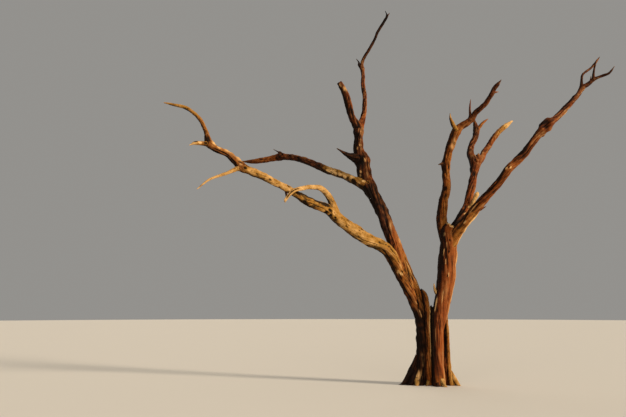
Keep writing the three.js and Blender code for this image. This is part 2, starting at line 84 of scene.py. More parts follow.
# Each limb starts on the ground (foot) or on its parent's centreline (parent, at), with a girth across, in
# millimetres. Each run is (length, lean from upright towards +X, turn away towards +Y, girth at its end).
LIMBS = {
    "left_strand": dict(foot=(-290, 40), girth=220, calm=2300, runs=[
        (345, 10, 0, 185), (730, 2, 2, 175), (280, -9, 2, 195), (260, -22, 2, 205),
        (520, -27, -2, 220), (290, -25, -8, 230), (270, -40, -17, 222), (525, -66, -26, 232),
        (310, -59, -27, 218), (320, -53, -26, 198), (250, -55, -26, 180), (320, -72, -28, 170),
        (268, -64, -25, 135), (321, -62, -24, 112), (196, -67, -20, 118), (245, -67, -21, 128),
        (240, -69, -20, 136), (129, -68, -18, 143), (311, -49, -13, 100), (372, -62, -15, 112),
        (234, -18, 5, 75), (278, -28, -4, 66), (261, -54, -23, 60), (233, -81, -24, 45),
        (149, -83, -20, 16),
    ]),
    "leader_strand": dict(foot=(-115, 200), girth=220, calm=2300, runs=[
        (330, 0, -2, 204), (730, 0, -2, 196), (320, -8, -2, 206), (275, -19, 0, 216),
        (575, -24, 3, 230), (600, -21, 8, 234), (360, -18, 11, 238), (320, -19, 15, 234),
        (305, -26, 15, 236), (280, -20, 16, 248), (301, -12, 16, 262), (228, -7, 15, 276),
        (237, -16, 15, 184), (230, -1, 15, 155), (230, 0, 15, 185), (180, -25, -6, 152),
        (155, -28, -15, 140), (315, -16, -22, 143), (280, -28, -25, 120), (100, -34, -24, 98),
    ]),
    "right_strand": dict(foot=(64, -120), girth=250, calm=2900, runs=[
        (360, 1, 0, 206), (660, 1, 1, 214), (290, 10, 2, 280), (220, 12, 3, 300), (265, 13, 6, 308),
        (305, 9, 6, 318), (285, 6, 4, 312), (225, 4, 3, 292), (126, -1, 0, 272), (126, 9, 0, 250),
        (97, 30, -6, 226),
    ]),
    "middle_strand": dict(foot=(-95, -20), girth=130, calm=1800, runs=[
        (700, 0, 0, 92), (360, 0, 1, 96), (310, 0, 4, 105), (205, -5, 8, 102), (120, -12, 15, 84),
    ]),
    "right_strut": dict(foot=(310, -40), girth=115, calm=1400, runs=[
        (245, -9, -6, 80), (460, -2, -2, 64), (285, -1, -2, 62), (255, -4, 0, 60),
    ]),
    "rear_strand": dict(foot=(222, 90), girth=200, calm=1600, runs=[
        (350, -1, -3, 165), (500, 0, -3, 150), (420, 1, -6, 130), (260, 4, -12, 90),
    ]),
    "heart": dict(foot=(20, 50), girth=250, calm=1400, runs=[(600, 0, 0, 210), (740, 0, 0, 195)]),
    "splinter": dict(parent="right_strand", at=1532, girth=83, runs=[
        (225, -35, -3, 59), (135, -11, -4, 12),
    ]),
    "right_prong": dict(parent="leader_strand", at=5250, girth=154, runs=[
        (230, 18, 17, 126), (230, 15, 18, 95), (255, 5, 18, 90), (170, 2, 14, 88), (340, -5, 14, 83),
        (135, 5, 13, 83), (155, -4, 11, 83), (150, -5, 8, 77), (180, 21, -6, 66), (140, 33, -13, 62),
        (300, 30, -17, 59), (125, 21, -19, 61), (295, 33, -14, 56), (95, 28, -18, 48),
        (105, -17, -11, 13),
    ]),
    "tip_fork": dict(parent="right_prong", at=2790, girth=42, runs=[(90, 43, -28, 11)]),
    "kink_spur": dict(parent="right_prong", at=1565, girth=78, runs=[
        (104, -36, 13, 58), (75, -7, 15, 36), (100, -28, 18, 12),
    ]),
    "leader_spur": dict(parent="leader_strand", at=4580, girth=200, runs=[
        (200, -70, -14, 158), (145, -74, -33, 92), (270, -66, -31, 16),
    ]),
    "upper_left": dict(parent="leader_strand", at=3985, girth=225, runs=[
        (215, -66, 17, 172), (400, -58, 34, 142), (520, -62, 30, 157), (375, -62, 29, 147),
        (365, -66, 26, 131), (300, -77, 23, 128), (150, -88, 23, 137), (180, -99, 19, 120),
        (300, -96, 19, 112), (185, -89, 19, 76), (170, -83, 20, 16),
    ]),
    "knob_spur": dict(parent="upper_left", at=2270, girth=124, runs=[
        (70, -5, 7, 112), (38, -25, 9, 66), (30, -55, 12, 30), (115, -58, 17, 13),
    ]),
    "curl": dict(parent="left_strand", at=3900, girth=150, runs=[
        (182, -12, -22, 131), (137, -25, -37, 119), (168, -37, -37, 108), (160, -54, -39, 91),
        (217, -91, -35, 76), (209, -105, -35, 69), (154, -114, -31, 61), (125, -135, -23, 54),
        (123, -145, -9, 48),
    ]),
    "under_spur": dict(parent="left_strand", at=4990, girth=60, runs=[(175, 175, -3, 20)]),
    "hanging_twig": dict(parent="left_strand", at=5845, girth=94, runs=[
        (130, -114, -26, 76), (207, -123, -35, 54), (328, -118, -31, 38), (130, -130, -18, 30),
        (133, -134, -9, 14),
    ]),
    "left_stub": dict(parent="left_strand", at=6500, girth=93, runs=[
        (160, -90, -28, 74), (105, -97, -31, 60), (85, -117, -22, 17),
    ]),
    "left_upright": dict(parent="right_strand", at=2547, girth=190, runs=[
        (220, -18, 12, 187), (199, -4, 10, 187), (229, 0, 0, 179), (171, 3, -8, 173),
        (330, 12, -12, 141), (339, -3, -14, 140), (153, 0, -20, 140), (133, 12, -18, 136),
        (290, 15, -16, 149), (145, 26, -16, 146), (135, 36, -18, 135), (208, 59, -23, 115),
        (95, 42, -19, 109), (86, 28, -21, 101), (226, 48, -24, 88), (213, 35, -20, 86),
        (122, 23, -20, 82), (93, 41, -26, 68), (83, 39, -23, 20),
    ]),
    "upright_knob": dict(parent="left_upright", at=1606, girth=92, runs=[
        (93, -92, -20, 59), (70, -105, -25, 15),
    ]),
    "upright_thorn": dict(parent="left_upright", at=2230, girth=110, runs=[
        (90, -34, -36, 90), (125, -34, -28, 73), (85, -30, -28, 47), (85, -7, -21, 15),
    ]),
    "upright_needle": dict(parent="left_upright", at=2587, girth=82, runs=[
        (90, -3, 8, 58), (100, -1, 11, 40), (95, 5, 12, 31), (140, 10, 8, 10),
    ]),
    "upright_barb": dict(parent="left_upright", at=3202, girth=47, runs=[
        (84, 74, 22, 29), (55, 74, 22, 10),
    ]),
    "middle": dict(parent="right_strand", at=2590, girth=180, runs=[
        (220, 26, 18, 179), (202, 23, 15, 172), (206, 32, 24, 153), (227, 33, 21, 130),
        (195, 30, 23, 140), (183, 21, 22, 160), (184, 17, 22, 158), (350, 16, 24, 144),
        (175, 12, 24, 169), (140, -9, 17, 169), (125, -9, 23, 158), (125, 4, 23, 142),
        (140, 18, 21, 123), (150, 28, 20, 119), (145, 19, 20, 124), (160, 6, 22, 104),
        (105, -1, 22, 83), (100, -1, 17, 30),
    ]),
    "middle_stub": dict(parent="middle", at=880, girth=60, runs=[
        (122, 67, -12, 62), (137, 28, -6, 80), (122, 27, 0, 94), (22, 27, 0, 60),
    ]),
    "middle_fork": dict(parent="middle", at=1870, girth=140, runs=[
        (195, 37, 23, 131), (145, 37, 24, 122), (165, 31, 25, 118), (200, 36, 27, 117),
        (230, 35, 26, 110), (225, 39, 26, 105), (200, 46, 27, 101), (200, 51, 27, 89),
        (195, 52, 24, 30),
    ]),
    "middle_twig": dict(parent="middle", at=2765, girth=83, runs=[
        (135, 27, 20, 73), (135, 37, 22, 62), (125, 45, 19, 46), (120, 53, 20, 15),
    ]),
    "right": dict(parent="right_strand", at=2479, girth=200, runs=[
        (191, 27, -9, 211), (211, 25, -11, 205), (239, 37, -20, 195), (219, 39, -18, 190),
        (168, 39, -21, 181), (161, 41, -18, 166), (340, 41, -19, 147), (190, 36, -16, 146),
        (145, 34, -16, 146), (140, 45, -12, 140), (165, 48, -14, 151), (120, 43, -10, 144),
        (130, 33, -4, 129), (310, 38, -4, 138), (115, 40, 0, 164), (115, 47, 0, 171),
        (160, 53, 7, 113), (350, 47, 12, 100), (285, 44, 16, 91), (170, 44, 21, 86), (155, 37, 23, 87),
        (75, 42, 8, 87), (75, 61, -8, 72), (80, 53, -14, 68), (75, 49, -16, 60), (190, 70, -18, 47),
        (90, 74, -27, 41), (65, 44, -27, 34), (85, 32, -21, 10),
    ]),
    "right_flake": dict(parent="right", at=900, girth=60, runs=[(125, 80, -12, 42), (105, 62, -14, 12)]),
    "right_loop": dict(parent="right", at=4092, girth=75, runs=[
        (140, 11, 20, 51), (110, 13, 21, 46), (120, 25, 24, 42), (290, 51, 25, 40), (150, 46, 24, 43),
        (145, 39, 24, 35), (120, 40, 20, 10),
    ]),
    "right_twig": dict(parent="right", at=4378, girth=53, runs=[
        (115, 1, -10, 38), (165, 9, -14, 30), (95, 20, -6, 10),
    ]),
    "right_hair": dict(parent="right", at=4303, girth=34, runs=[(130, 13, 8, 10)]),
    "fork_knob": dict(parent="middle", at=1960, girth=120, runs=[
        (120, 22, 20, 116), (120, 27, 20, 94), (55, 27, 20, 36),
    ]),
}

# Root toes: (strand, bearing from +X, reach, height where it leaves, girth).
TOES = [
    ("left_strand", 176, 345, 540, 150),
    ("left_strand", 252, 150, 240, 130),
    ("leader_strand", 120, 280, 300, 150),
    ("rear_strand", 62, 260, 280, 140),
    ("right_strut", 340, 175, 260, 110),
    ("right_strut", 25, 150, 200, 90),
    ("right_strand", 300, 230, 230, 130),
    ("right_strand", 252, 170, 180, 130),
    ("middle_strand", 235, 130, 160, 90),
    ("left_strand", 190, 215, 330, 170),
]

# Knots, hollows and scars by limb, each a raised rim round a pit: (millimetres along, bearing round the
# limb, size, rim, pit, tone). A tone over 0 is bare pale wood; one under 0 is painted black, as painted
# shade in the pit.
# Bearings in degrees: 0 is the right or upper side of a limb that leans left, 90 its far side, -90 the side
# of the usual view. On a limb that leans right, 0 is its lower side.
MARKS = {
    "right_strand": [
        (2665, -87, 20, 3, 14, -1), (2440, -94, 20, 3, 10, -0.8), (1985, -95, 26, 5, 10, -0.5),
        (2770, -136, 24, 8, 0, 0.9),
    ],
    "left_strand": [
        (2135, -72, 24, 4, 18, -1), (2162, -106, 26, 12, 0, 0.9), (2108, -88, 26, 12, 0, 0.9),
        (170, -116, 84, 0, -10, 0.85), (3380, 10, 150, 4, -26, 0), (3620, -110, 34, 7, 12, -0.4),
        (4190, -35, 34, 8, 16, -0.8), (4095, -92, 40, 9, 14, -0.9), (4010, -87, 30, 9, 12, 0.6),
        (4140, -135, 46, 10, 14, -0.9), (4030, -128, 34, 8, 10, -0.8), (3940, -112, 26, 8, 8, -0.7),
        (4560, -140, 60, 9, 16, -0.8), (4960, -30, 40, 10, 18, -0.9), (5330, -95, 30, 8, 10, -0.5),
        (5790, -80, 34, 12, 22, -0.8), (5985, 0, 46, 0, -16, 0.6), (6115, -10, 44, 0, -14, 0.2),
        (6215, -5, 40, 0, -12, 0.6), (6335, -40, 26, 5, 0, 0.8), (6420, -14, 30, 6, 0, 0.6),
        (5900, -75, 22, 5, 0, 0.5), (6585, -80, 66, 8, -8, -1), (6470, -20, 34, 8, 6, 0.7),
    ],
    "left_stub": [(90, -84, 28, 6, 8, -0.9), (185, -80, 24, 5, 0, 1), (250, -40, 26, 6, 8, -1)],
    "leader_strand": [
        (4225, -146, 22, 8, 0, 1), (4560, -122, 150, 6, 22, -1), (5200, -60, 60, 14, 14, 0.1),
        (6190, -70, 40, 4, 0, 0.45), (6290, -118, 24, 6, 0, 0.5), (5055, -138, 20, 5, 0, 0.5),
        (4915, -75, 22, 5, 0, 0.5), (4865, -119, 22, 5, 0, 0.6), (4430, -130, 20, 5, 0, 0.5),
        (4285, -130, 20, 5, 0, 0.7),
    ],
    "upper_left": [
        (120, -70, 26, 9, 0, 1), (190, -100, 20, 5, 0, 0.6), (320, -108, 60, 6, 16, -1),
        (400, -68, 34, 6, 0, 1), (560, -112, 34, 6, 0, 1), (690, -100, 36, 6, 0, 1),
        (790, -116, 34, 6, 0, 1), (890, -104, 40, 6, 0, 1), (985, -110, 36, 6, 0, 1),
        (2230, -60, 60, 12, 16, -0.8), (2330, -120, 44, 10, 10, -0.5),
    ],
    "right": [
        (540, -150, 20, 6, 0, 0.8), (618, -98, 20, 6, 0, 0.7), (1845, -126, 15, 6, 0, 1),
        (1890, -88, 15, 6, 0, 1), (1875, -108, 20, 3, 16, -1), (2900, -100, 90, 24, 36, -0.6),
        (2830, 10, 70, 22, 12, 0), (2940, 170, 70, 20, 18, -0.3),
    ],
    "middle": [(745, -60, 24, 7, 0, 0.9), (2010, -75, 50, 14, 22, -0.5)],
    "left_upright": [(1990, -60, 60, 10, 14, 0.3), (1130, -120, 50, 9, 18, -0.5)],
}

# Long cracks and standing slivers by limb: (from, to, bearing, degrees that it climbs on the way, width,
# depth, tone), in millimetres. One of a depth under 0 stands proud. Bearings and tones as above: a tone
# under 0 paints the crack black, as painted shade in it, and the wide black bands marked below are painted
# shadow.
SEAMS = {
    "left_strand": [
        (1340, 1830, -84, 66, 24, 34, -1), (1180, 1400, -78, -14, 7, -9, 0.8),
        (290, 640, -76, -18, 24, -8, 0.32), (1450, 2100, -118, -8, 12, 10, -0.5),
        (2240, 2700, -72, 20, 9, 16, -0.8), (2060, 2900, -138, 10, 14, 18, -0.8),
        (2900, 3450, -112, -20, 8, 12, -0.5), (3980, 4600, -120, 10, 8, 12, -0.4),
        # From 3960 to 4930 mm, the wide black band on the upper side is painted shadow of the curl.
        (3960, 4930, -30, 0, 46, 6, -1), (5880, 6460, -116, 10, 12, 20, -0.9),
    ],
    "leader_strand": [
        (1400, 1870, -128, 30, 22, 20, -1), (1850, 2430, -98, 38, 9, 18, -0.9),
        (1940, 2430, -38, -8, 8, 14, -0.8), (1760, 2350, -58, 6, 11, -9, 0.4),
        (2500, 3300, -104, 12, 13, 18, -0.8), (4440, 4615, -72, -12, 10, -16, 1),
        (4860, 5200, -112, 8, 9, 12, -0.6), (5500, 6200, -84, 20, 12, 16, -0.6),
    ],
    "middle_strand": [(300, 1640, -42, -4, 13, -8, 1), (500, 1500, -112, 4, 7, 9, -0.6)],
    "right_strand": [
        (330, 1600, -148, -26, 11, -6, 0.5), (1260, 1610, -138, -8, 16, -10, 0.9),
        (60, 760, -34, 2, 8, -5, 0.4), (350, 1500, -108, 6, 6, 8, -0.5), (900, 2000, -72, 8, 6, 7, -0.35),
        (1000, 2780, -10, 0, 26, -4, 0.55), (2380, 2560, -98, 6, 7, 10, -0.8),
        (2490, 2650, -112, 0, 7, -5, 0.6), (2000, 2600, -122, 4, 7, 8, -0.5),
        (2330, 2520, -132, 4, 9, -6, 0.9), (2180, 2320, -112, 0, 7, -5, 0.7),
        (1950, 2060, -86, 0, 7, -4, 0.8), (1450, 1750, -102, -4, 7, -4, 0.5),
        (2100, 2500, -62, 3, 6, 7, -0.6), (1150, 1700, -50, 2, 6, 7, -0.6),
        (600, 1300, -86, -3, 7, 8, -0.6), (700, 1100, -120, -6, 6, -4, 0.4),
    ],
    "right": [
        (560, 880, -104, -56, 13, 34, -1), (820, 1180, -160, 32, 12, 30, -1),
        (960, 1120, -96, -8, 9, 18, -1), (700, 1100, -118, -12, 12, -12, 0.45),
        (40, 1080, -28, 4, 30, -9, 1), (1250, 1750, -120, 6, 10, 16, -0.6),
        # The three wide black bands at bearings -152 and -158 are painted shade along the right bough's
        # shaded upper side.
        (2000, 2700, -84, 14, 10, 16, -0.6), (1120, 1960, -158, 0, 26, -2, -0.8),
        (1950, 2880, -152, 0, 40, -2, -0.8), (3020, 4070, -152, 0, 28, -2, -0.8),
        (3230, 3480, -16, 0, 10, -10, 0.6), (3150, 3700, -94, 10, 9, 12, -0.6),
    ],
    "left_upright": [(420, 1200, -84, -14, 9, 12, -0.6), (1250, 2000, -104, 12, 10, 14, -0.6)],
    "middle": [
        # The first, wide and black on the left side of the bough's base, is painted shadow of the right
        # bough.
        (330, 900, -138, 12, 60, 20, -1), (900, 1800, -92, 16, 10, 14, -0.6),
        (2100, 2700, -76, 10, 9, 12, -0.6),
    ],
    "curl": [(1080, 1475, -94, 0, 12, 16, -1)],
    "upper_left": [(1300, 2200, -96, 12, 10, 14, -0.5)],
    "right_prong": [(300, 1500, -88, 14, 8, 10, -0.5)],
}

# How bleached by the sun and how dark the wood is along each limb: (millimetres along, bleached, dark).
# Over 1, bleached goes on to torn wood and dark to black. Where marked below, the dark and black are
# painted shade rather than the wood's own colour.
TONES = {
    # Black up to 1230 mm, low on the trunk, is painted shadow of the right stem.
    "left_strand": [
        (0, 0, 1.6), (1230, 0, 1.6), (1420, 0.1, 0.7), (1700, 0.25, 0.2), (2330, 0.45, 0.15),
        (2900, 1.1, 0), (3300, 1.2, 0), (4300, 0.9, 0.1), (4700, 0.85, 0.1), (5000, 1.2, 0),
        (5680, 1.2, 0), (5850, 0.2, 0.7), (6480, 0.25, 0.6), (6700, 0.3, 0.5), (7000, 0.5, 0.3),
        (7300, 1, 0.1),
    ],
    # Black at the foot is painted shade; higher up the dark is partly the limb's own dark wood and partly
    # painted shade.
    "leader_strand": [
        (0, 0, 1.6), (1350, 0, 0.8), (1550, 0.35, -0.2), (2250, 0.4, -0.2), (2650, 0.1, 0.1),
        (2950, 0, 0.9), (3450, 0, 1.5), (3880, 0, 1.4), (4100, 0, 0.8), (4300, 0, 1.2), (4900, 0, 1.1),
        (5200, 0, 0.9), (5600, 0, 0.9), (6300, 0, 1.1),
    ],
    "right_strand": [(0, 0.3, 0), (300, 0, 0.4), (1000, 0, 0.45), (2700, 0.1, 0.3)],
    "middle_strand": [(0, 0.2, 0), (1700, 0.3, 0)],
    "right_strut": [(0, 0.8, -0.3), (500, 0.6, -0.3), (1400, 0.4, -0.3)],
    # Black from 600 to 950 mm, seen in the gap beside the strut, is painted shade.
    "rear_strand": [(0, 0.2, 0.3), (450, 0, 0.6), (600, 0, 1.6), (950, 0, 1.6), (1100, 0, 0.5)],
    # The heart shows only in the slits between the strands; its black is painted shade.
    "heart": [(0, 0, 2)],
    "splinter": [(0, 1.8, -0.5)],
    "right_prong": [(0, 0, 0.6), (1500, 0, 0.8), (1800, 0, 1.3), (3000, 0, 1.6)],
    "tip_fork": [(0, 0, 1.2)],
    "kink_spur": [(0, 0, 1.2)],
    "leader_spur": [(0, 0, 1.6)],
    "upper_left": [
        (0, 0.5, 0.1), (300, 1.15, 0), (1000, 1.15, 0), (1250, 0, 1.1), (1700, 0, 0.9), (2250, 0.05, 0.6),
        (2700, 0.2, 0.3), (3000, 0.1, 0.7),
    ],
    "knob_spur": [(0, 0, 1.2)],
    "curl": [(0, 0.7, 0.15), (500, 1.4, 0)],
    "under_spur": [(0, 0, 1.4)],
    "hanging_twig": [(0, 1.1, 0.1), (300, 1.25, 0), (600, 1.5, 0)],
    "left_stub": [(0, 0.8, 0.3), (180, 0.5, 0.6), (300, 1.3, 0)],
    "left_upright": [
        (0, 0.3, -0.3), (1500, 0.25, -0.2), (2200, 0.3, 0.1), (2500, 0.1, 0.5), (3000, 0, 0.9),
    ],
    "upright_knob": [(0, 0, 1.3)],
    "upright_thorn": [(0, 0.8, 0)],
    # Black on the first 700 mm is painted shadow of the right bough.
    "middle": [
        (0, 0, 1.1), (300, 0, 1.4), (600, 0, 1.3), (900, 0.05, 0.4), (1500, 0, 0.7), (2100, 0, 0.9),
        (2600, 0, 1),
    ],
    "middle_stub": [(0, 1.4, 0)],
    "middle_fork": [(0, 0, 0.7), (900, 0.05, 0.6), (1300, 0.7, 0.1), (1600, 1.7, 0)],
    "middle_twig": [(0, 0.2, 0.3)],
    "fork_knob": [(0, 0, 0.9)],
    "right": [
        (0, 0.4, -0.2), (700, 0.45, -0.2), (1200, 0.1, 0.1), (1800, 0.15, 0.3), (2300, 0.1, 0.5),
        (3000, 0, 0.7), (4000, 0, 0.9), (4300, 0, 1.1),
    ],
    "right_loop": [(0, 0, 1.1)],
    "right_twig": [(0, 0, 1.1)],
    "right_flake": [(0, 0.2, 0.1)],
}
PLAIN_TONE = [(0, 0, 0.7)]
PALE_TIPS = ("splinter", "upright_thorn", "middle_stub", "middle_fork", "hanging_twig", "left_stub")
PALE_TOES = (1, 4, 5, 6, 8)   # bleached by blown sand, by their place in the list

# How deep a limb's relief is, where it isn't 1, and how far an end is domed, in radii, where it isn't
# plain. A dome under 0 is a hollow.
SMOOTHNESS = {"right_strand": 0.45, "right_strut": 0.6, "middle_strand": 0.6, "right": 0.8, "splinter": 0.5}
DOMES = {"middle_strand": 0.6, "rear_strand": 0.9, "right_strut": 1.2, "heart": 0.6, "right_strand": -0.5,
         "curl": 0.3}

# Ends broken at a slant: the bearing of the longer side, and how far it stands out in millimetres.
SLANTS = {"leader_strand": (180, 42), "curl": (180, 14), "left_stub": (0, 20), "middle_strand": (180, 45)}

# The side that the key light falls on, up and to the right: wood facing it is painted lighter and more
# bleached, as painted light, and wood facing away is painted darker, as painted shade.
KEY_LIGHT_SIDE = (0.88, -0.34, 0.33)

# The weathered surface, in metres: spacing across the grain and along it, and depth.
MUSCLE = (0.100, 1.30, 0.020)   # rounded strands with sharp valleys between
RIDGE = (0.034, 0.55, 0.007)    # raised fibres
CRACK = (0.060, 0.80, 0.016)    # drying cracks that open along the grain
LUMP = (0.170, 0.24, 0.12)      # slow swellings, depth as a share of the radius
GNARL = (0.070, 0.10, 0.11)     # knobbly wood, depth as a share of the radius
PIT = (0.030, 0.036, 0.007)     # holes left by insects and blown sand, on bleached wood
FINE_RIDGE = (0.017, 0.275)     # finer fibres between the ridges
OPENING = (0.25, 0.70)          # the stretches where cracks open
SPLINTER = (0.03, 0.40)         # torn fibres at a broken end
BLOTCH = (0.13, 0.055)          # spacing of the large and the small weathered patches
GRAIN_SLOPE = 0.16              # how steeply the grain climbs round a limb
FULL_RELIEF_RADIUS = 0.11       # a thinner limb has its relief shrunk with it
LEAST_PATTERN = 0.35            # the most that its pattern shrinks
STATION_STEP = 0.02             # distance between the stations along a limb
PATTERN_SHIFT = 3.7             # how far apart two limbs' patterns start, for each unit of phase
TIGHTEST_CLIMB = 0.03           # the least radius that the grain's climb is worked out with

# The grid that a limb is worked out on.
FINEST_RINGS = 0.004            # the least distance between two rings, in metres
FEWEST_RINGS = 4
SIDES = (14, 120)               # the fewest and the most points round a ring
CAP_SHARES = (0.93, 0.8, 0.62, 0.42, 0.2, 0.02)   # how far the rings that close an end are drawn in
PLAIN_DOME = 0.7                # how far a plain end is domed, in radii
TEAR, JAG = 0.5, 0.5            # how deep a broken end is torn, and how far it stands out, in radii
LEAST_RADIUS = 0.3              # what a section keeps of its plain radius, however deep its relief
RIM = (0.026, 0.012)            # where the pale rim of a hollow end starts and is full, in metres before it
TIP_BARE, FACE_BARE = (0.1, 0.5), (0.3, 1.0)      # how bare a plain and a pale end are, skin and face
GROUND_BLOCK = ((-4, 4), (-4, 4), (-2, 0))        # what is cut away below ground, in metres each way
VALUES = {"grain": 3, "worn": 1, "bleached": 1, "dark": 1, "bare": 1}   # what a point holds, in numbers


def srgb(text):
    """An sRGB hex colour as linear red, green and blue."""
    parts = [int(text[i:i + 2], 16) / 255 for i in (1, 3, 5)]
    return tuple(c / 12.92 if c <= 0.04045 else ((c + 0.055) / 1.055) ** 2.4 for c in parts)


class TreeSizes(PropertyGroup):
    """Sizes of the grid the wood is worked out on, and how deep its relief is."""
    ring_step: FloatProperty(
        name="Ring step", description="Distance between two sections of a limb", default=0.009, min=0.004,
        max=0.05, unit="LENGTH")
    side_step: FloatProperty(
        name="Side step", description="Distance between two points round a section", default=0.008,
        min=0.004, max=0.05, unit="LENGTH")
    relief: FloatProperty(
        name="Relief", description="Depth of ridges, cracks and lumps, as a share of full weathering",
        default=1.0, min=0.0, max=2.0, subtype="FACTOR")


def colour(name, description, text):
    """A colour that a user can change, with its sRGB hex value as the default."""
    return FloatVectorProperty(
        name=name, description=description, subtype="COLOR", default=srgb(text), min=0, max=1)


def strength(name, description, default):
    """The strength of a light, which a user can change."""
    return FloatProperty(name=name, description=description, default=default, min=0)


class WoodColours(PropertyGroup):
    """Colours of the wood where it is plain, before cracks darken it and ridges bleach it."""
    heartwood: colour("Heartwood", "Bark-stripped wood of the trunk", "#7a3509")
    limb: colour("Limb wood", "Dark weathered wood of the high boughs", "#44200b")
    bleached: colour("Bleached wood", "Wood bleached by the sun", "#8c6122")
    torn: colour("Torn wood", "Bare wood where a limb broke or bark came away", "#d0a56a")
    # The crack colour is painted shade: the near black at the bottom of cracks, pits and hollows, also
    # reached on the shaded sides and where the wood is painted black.
    crack: colour("Cracks", "Bottom of cracks and hollows", "#0c0502")


class StageLook(PropertyGroup):
    """The floor and the lights."""
    floor: colour("Floor", "Colour of the plain floor", "#d9d2c6")
    key: strength("Key light", "Strength of the soft light from the right", 4.5)
    fill: strength("Fill light", "Strength of the soft light from the front", 1.1)
    back: strength("Back light", "Strength of the soft light from behind", 0.7)
    sky: strength("Surrounding light", "Strength of the pale light from all round", 0.33)


def unit(vectors):
    """Each vector over its own length."""
    return vectors / np.maximum(np.linalg.norm(vectors, axis=-1, keepdims=True), 1e-12)


def smooth(low, high, value):
    """0 below low, 1 above high, and 3t^2 - 2t^3 between."""
    t = np.clip((value - low) / (high - low), 0, 1)
    return t * t * (3 - 2 * t)


SHUFFLE = np.tile(np.random.default_rng(11).permutation(256), 2)
SLOPES = unit(np.random.default_rng(12).normal(size=(256, 3)))


def noise(points, seed=0):
    """Smooth noise of about -1 to 1. Each corner of the unit cell round a point has a slope drawn from a
    shuffled table; the eight slopes' heights at the point are blended by 6t^5 - 15t^4 + 10t^3 each way. A
    seed moves the points, so that each layer has a noise of its own."""
    points = np.asarray(points) + seed * 17.31
    cell = np.floor(points).astype(np.int64)
    inside = points - cell
    blend = inside ** 3 * (inside * (inside * 6 - 15) + 10)
    total = np.zeros(points.shape[:-1])
    for corner in itertools.product((0, 1), repeat=3):
        x, y, z = np.moveaxis((cell + corner) & 255, -1, 0)
        slope = SLOPES[SHUFFLE[SHUFFLE[SHUFFLE[x] + y] + z]]
        weight = np.prod(np.where(np.array(corner) == 1, blend, 1 - blend), axis=-1)
        total += weight * np.sum(slope * (inside - corner), axis=-1)
    return total * 1.5


def grain_noise(grain, spacing, seed):
    """Noise stretched along the grain: spacing is across it, then along it."""
    across, lengthways = spacing[:2]
    return noise(grain / (across, across, lengthways), seed)


class Limb:
    """A limb as it grew, in metres: its joints, the distance along and the girth at each, the direction
    that its sections are turned from, a phase of its own, and its tones. At stations along it are worked
    out how far its pattern shrinks and has run, how far its grain has turned, and the spheres that other
    limbs knit to."""

    def __init__(self, joints, along, girths, across, phase, tones):
        self.joints = np.array(joints, float)
        self.along = np.array(along, float)
        self.girths = np.array(girths, float)
        self.across = np.array(across, float)
        self.phase = phase
        self.tones = np.array(tones, float)
        self.length = self.along[-1]
        self.stations = np.arange(0, self.length + STATION_STEP, STATION_STEP)
        radii = self.girth(self.stations) / 2
        self.shrink = np.clip(radii / FULL_RELIEF_RADIUS, LEAST_PATTERN, 1)
        self.pattern_along = np.cumsum(STATION_STEP / self.shrink) + PATTERN_SHIFT * phase
        climbs = STATION_STEP * GRAIN_SLOPE / np.maximum(radii, TIGHTEST_CLIMB)
        self.turns = np.cumsum(climbs) * (1 if math.sin(phase) > 0 else -1)
        self.spheres = self.points(self.stations), radii

    def girth(self, distance):
        """The girth at a distance, in a straight line between those at the joints."""
        return np.interp(distance, self.along, self.girths)

    def tone(self, distance):
        """How bleached and how dark the wood is at a distance."""
        return [np.interp(distance, self.tones[:, 0] * MM, self.tones[:, k]) for k in (1, 2)]

    def points(self, distance):
        """Points on the centripetal Catmull-Rom curve through the joints: in each run the cubic that meets
        both joints, with slopes from the joints before and after, spaced by the root of the run's length."""
        joints = self.joints
        line = np.vstack([2 * joints[:1] - joints[1:2], joints, 2 * joints[-1:] - joints[-2:-1]])
        place = np.interp(distance, self.along, np.arange(len(self.along)))
        i = np.clip(place.astype(int), 0, len(self.along) - 2)
        w = (place - i)[:, None]
        a, b, c, d = (line[i + k] for k in range(4))
        ab, bc, cd = (np.sqrt(np.linalg.norm(q - p, axis=1))[:, None] for p, q in ((a, b), (b, c), (c, d)))
        start = ((b - a) / ab - (c - a) / (ab + bc) + (c - b) / bc) * bc
        end = ((c - b) / bc - (d - b) / (bc + cd) + (d - c) / cd) * bc
        square, cube = 3 * (c - b) - 2 * start - end, 2 * (b - c) + start + end
        return b + start * w + square * w ** 2 + cube * w ** 3

    def sections(self, distance):
        """Along, side and other directions of each section. Along comes from two points a third of a girth
        to each side; side is across x along, and other is along x side."""
        reach = self.girth(distance) / 3
        ahead = self.points(np.minimum(distance + reach, self.length))
        along = unit(ahead - self.points(np.maximum(distance - reach, 0)))
        side = unit(np.cross(self.across, along))
        return along, side, np.cross(along, side)

    def plain_radius(self, distance, angle):
        """Half the girth times 1 + pairs cos(2a + phase + twist d) + threes cos(3a + 2 phase - twist d)."""
        twist = FLUTE_TWIST * distance / MM
        pairs = FLUTE_PAIRS * np.cos(2 * angle + self.phase + twist)
        threes = FLUTE_THREES * np.cos(3 * angle + 2 * self.phase - twist)
        return self.girth(distance) / 2 * (1 + pairs + threes)


def heading(lean, turn):
    """(sin a cos b, sin b, cos a cos b) for a lean a and a turn b."""
    a, b = math.radians(lean), math.radians(turn)
    return np.array([math.sin(a) * math.cos(b), math.sin(b), math.cos(a) * math.cos(b)])


def sway(distance, phase):
    """Two sine waves of different length, so that no limb sways in a regular beat."""
    turns = FULL_TURN * distance
    slow = SWAY_SLOW * math.sin(turns / SWAY_WAVE_SLOW + phase)
    return slow + SWAY_FAST * math.sin(turns / SWAY_WAVE_FAST + FAST_PHASE * phase)


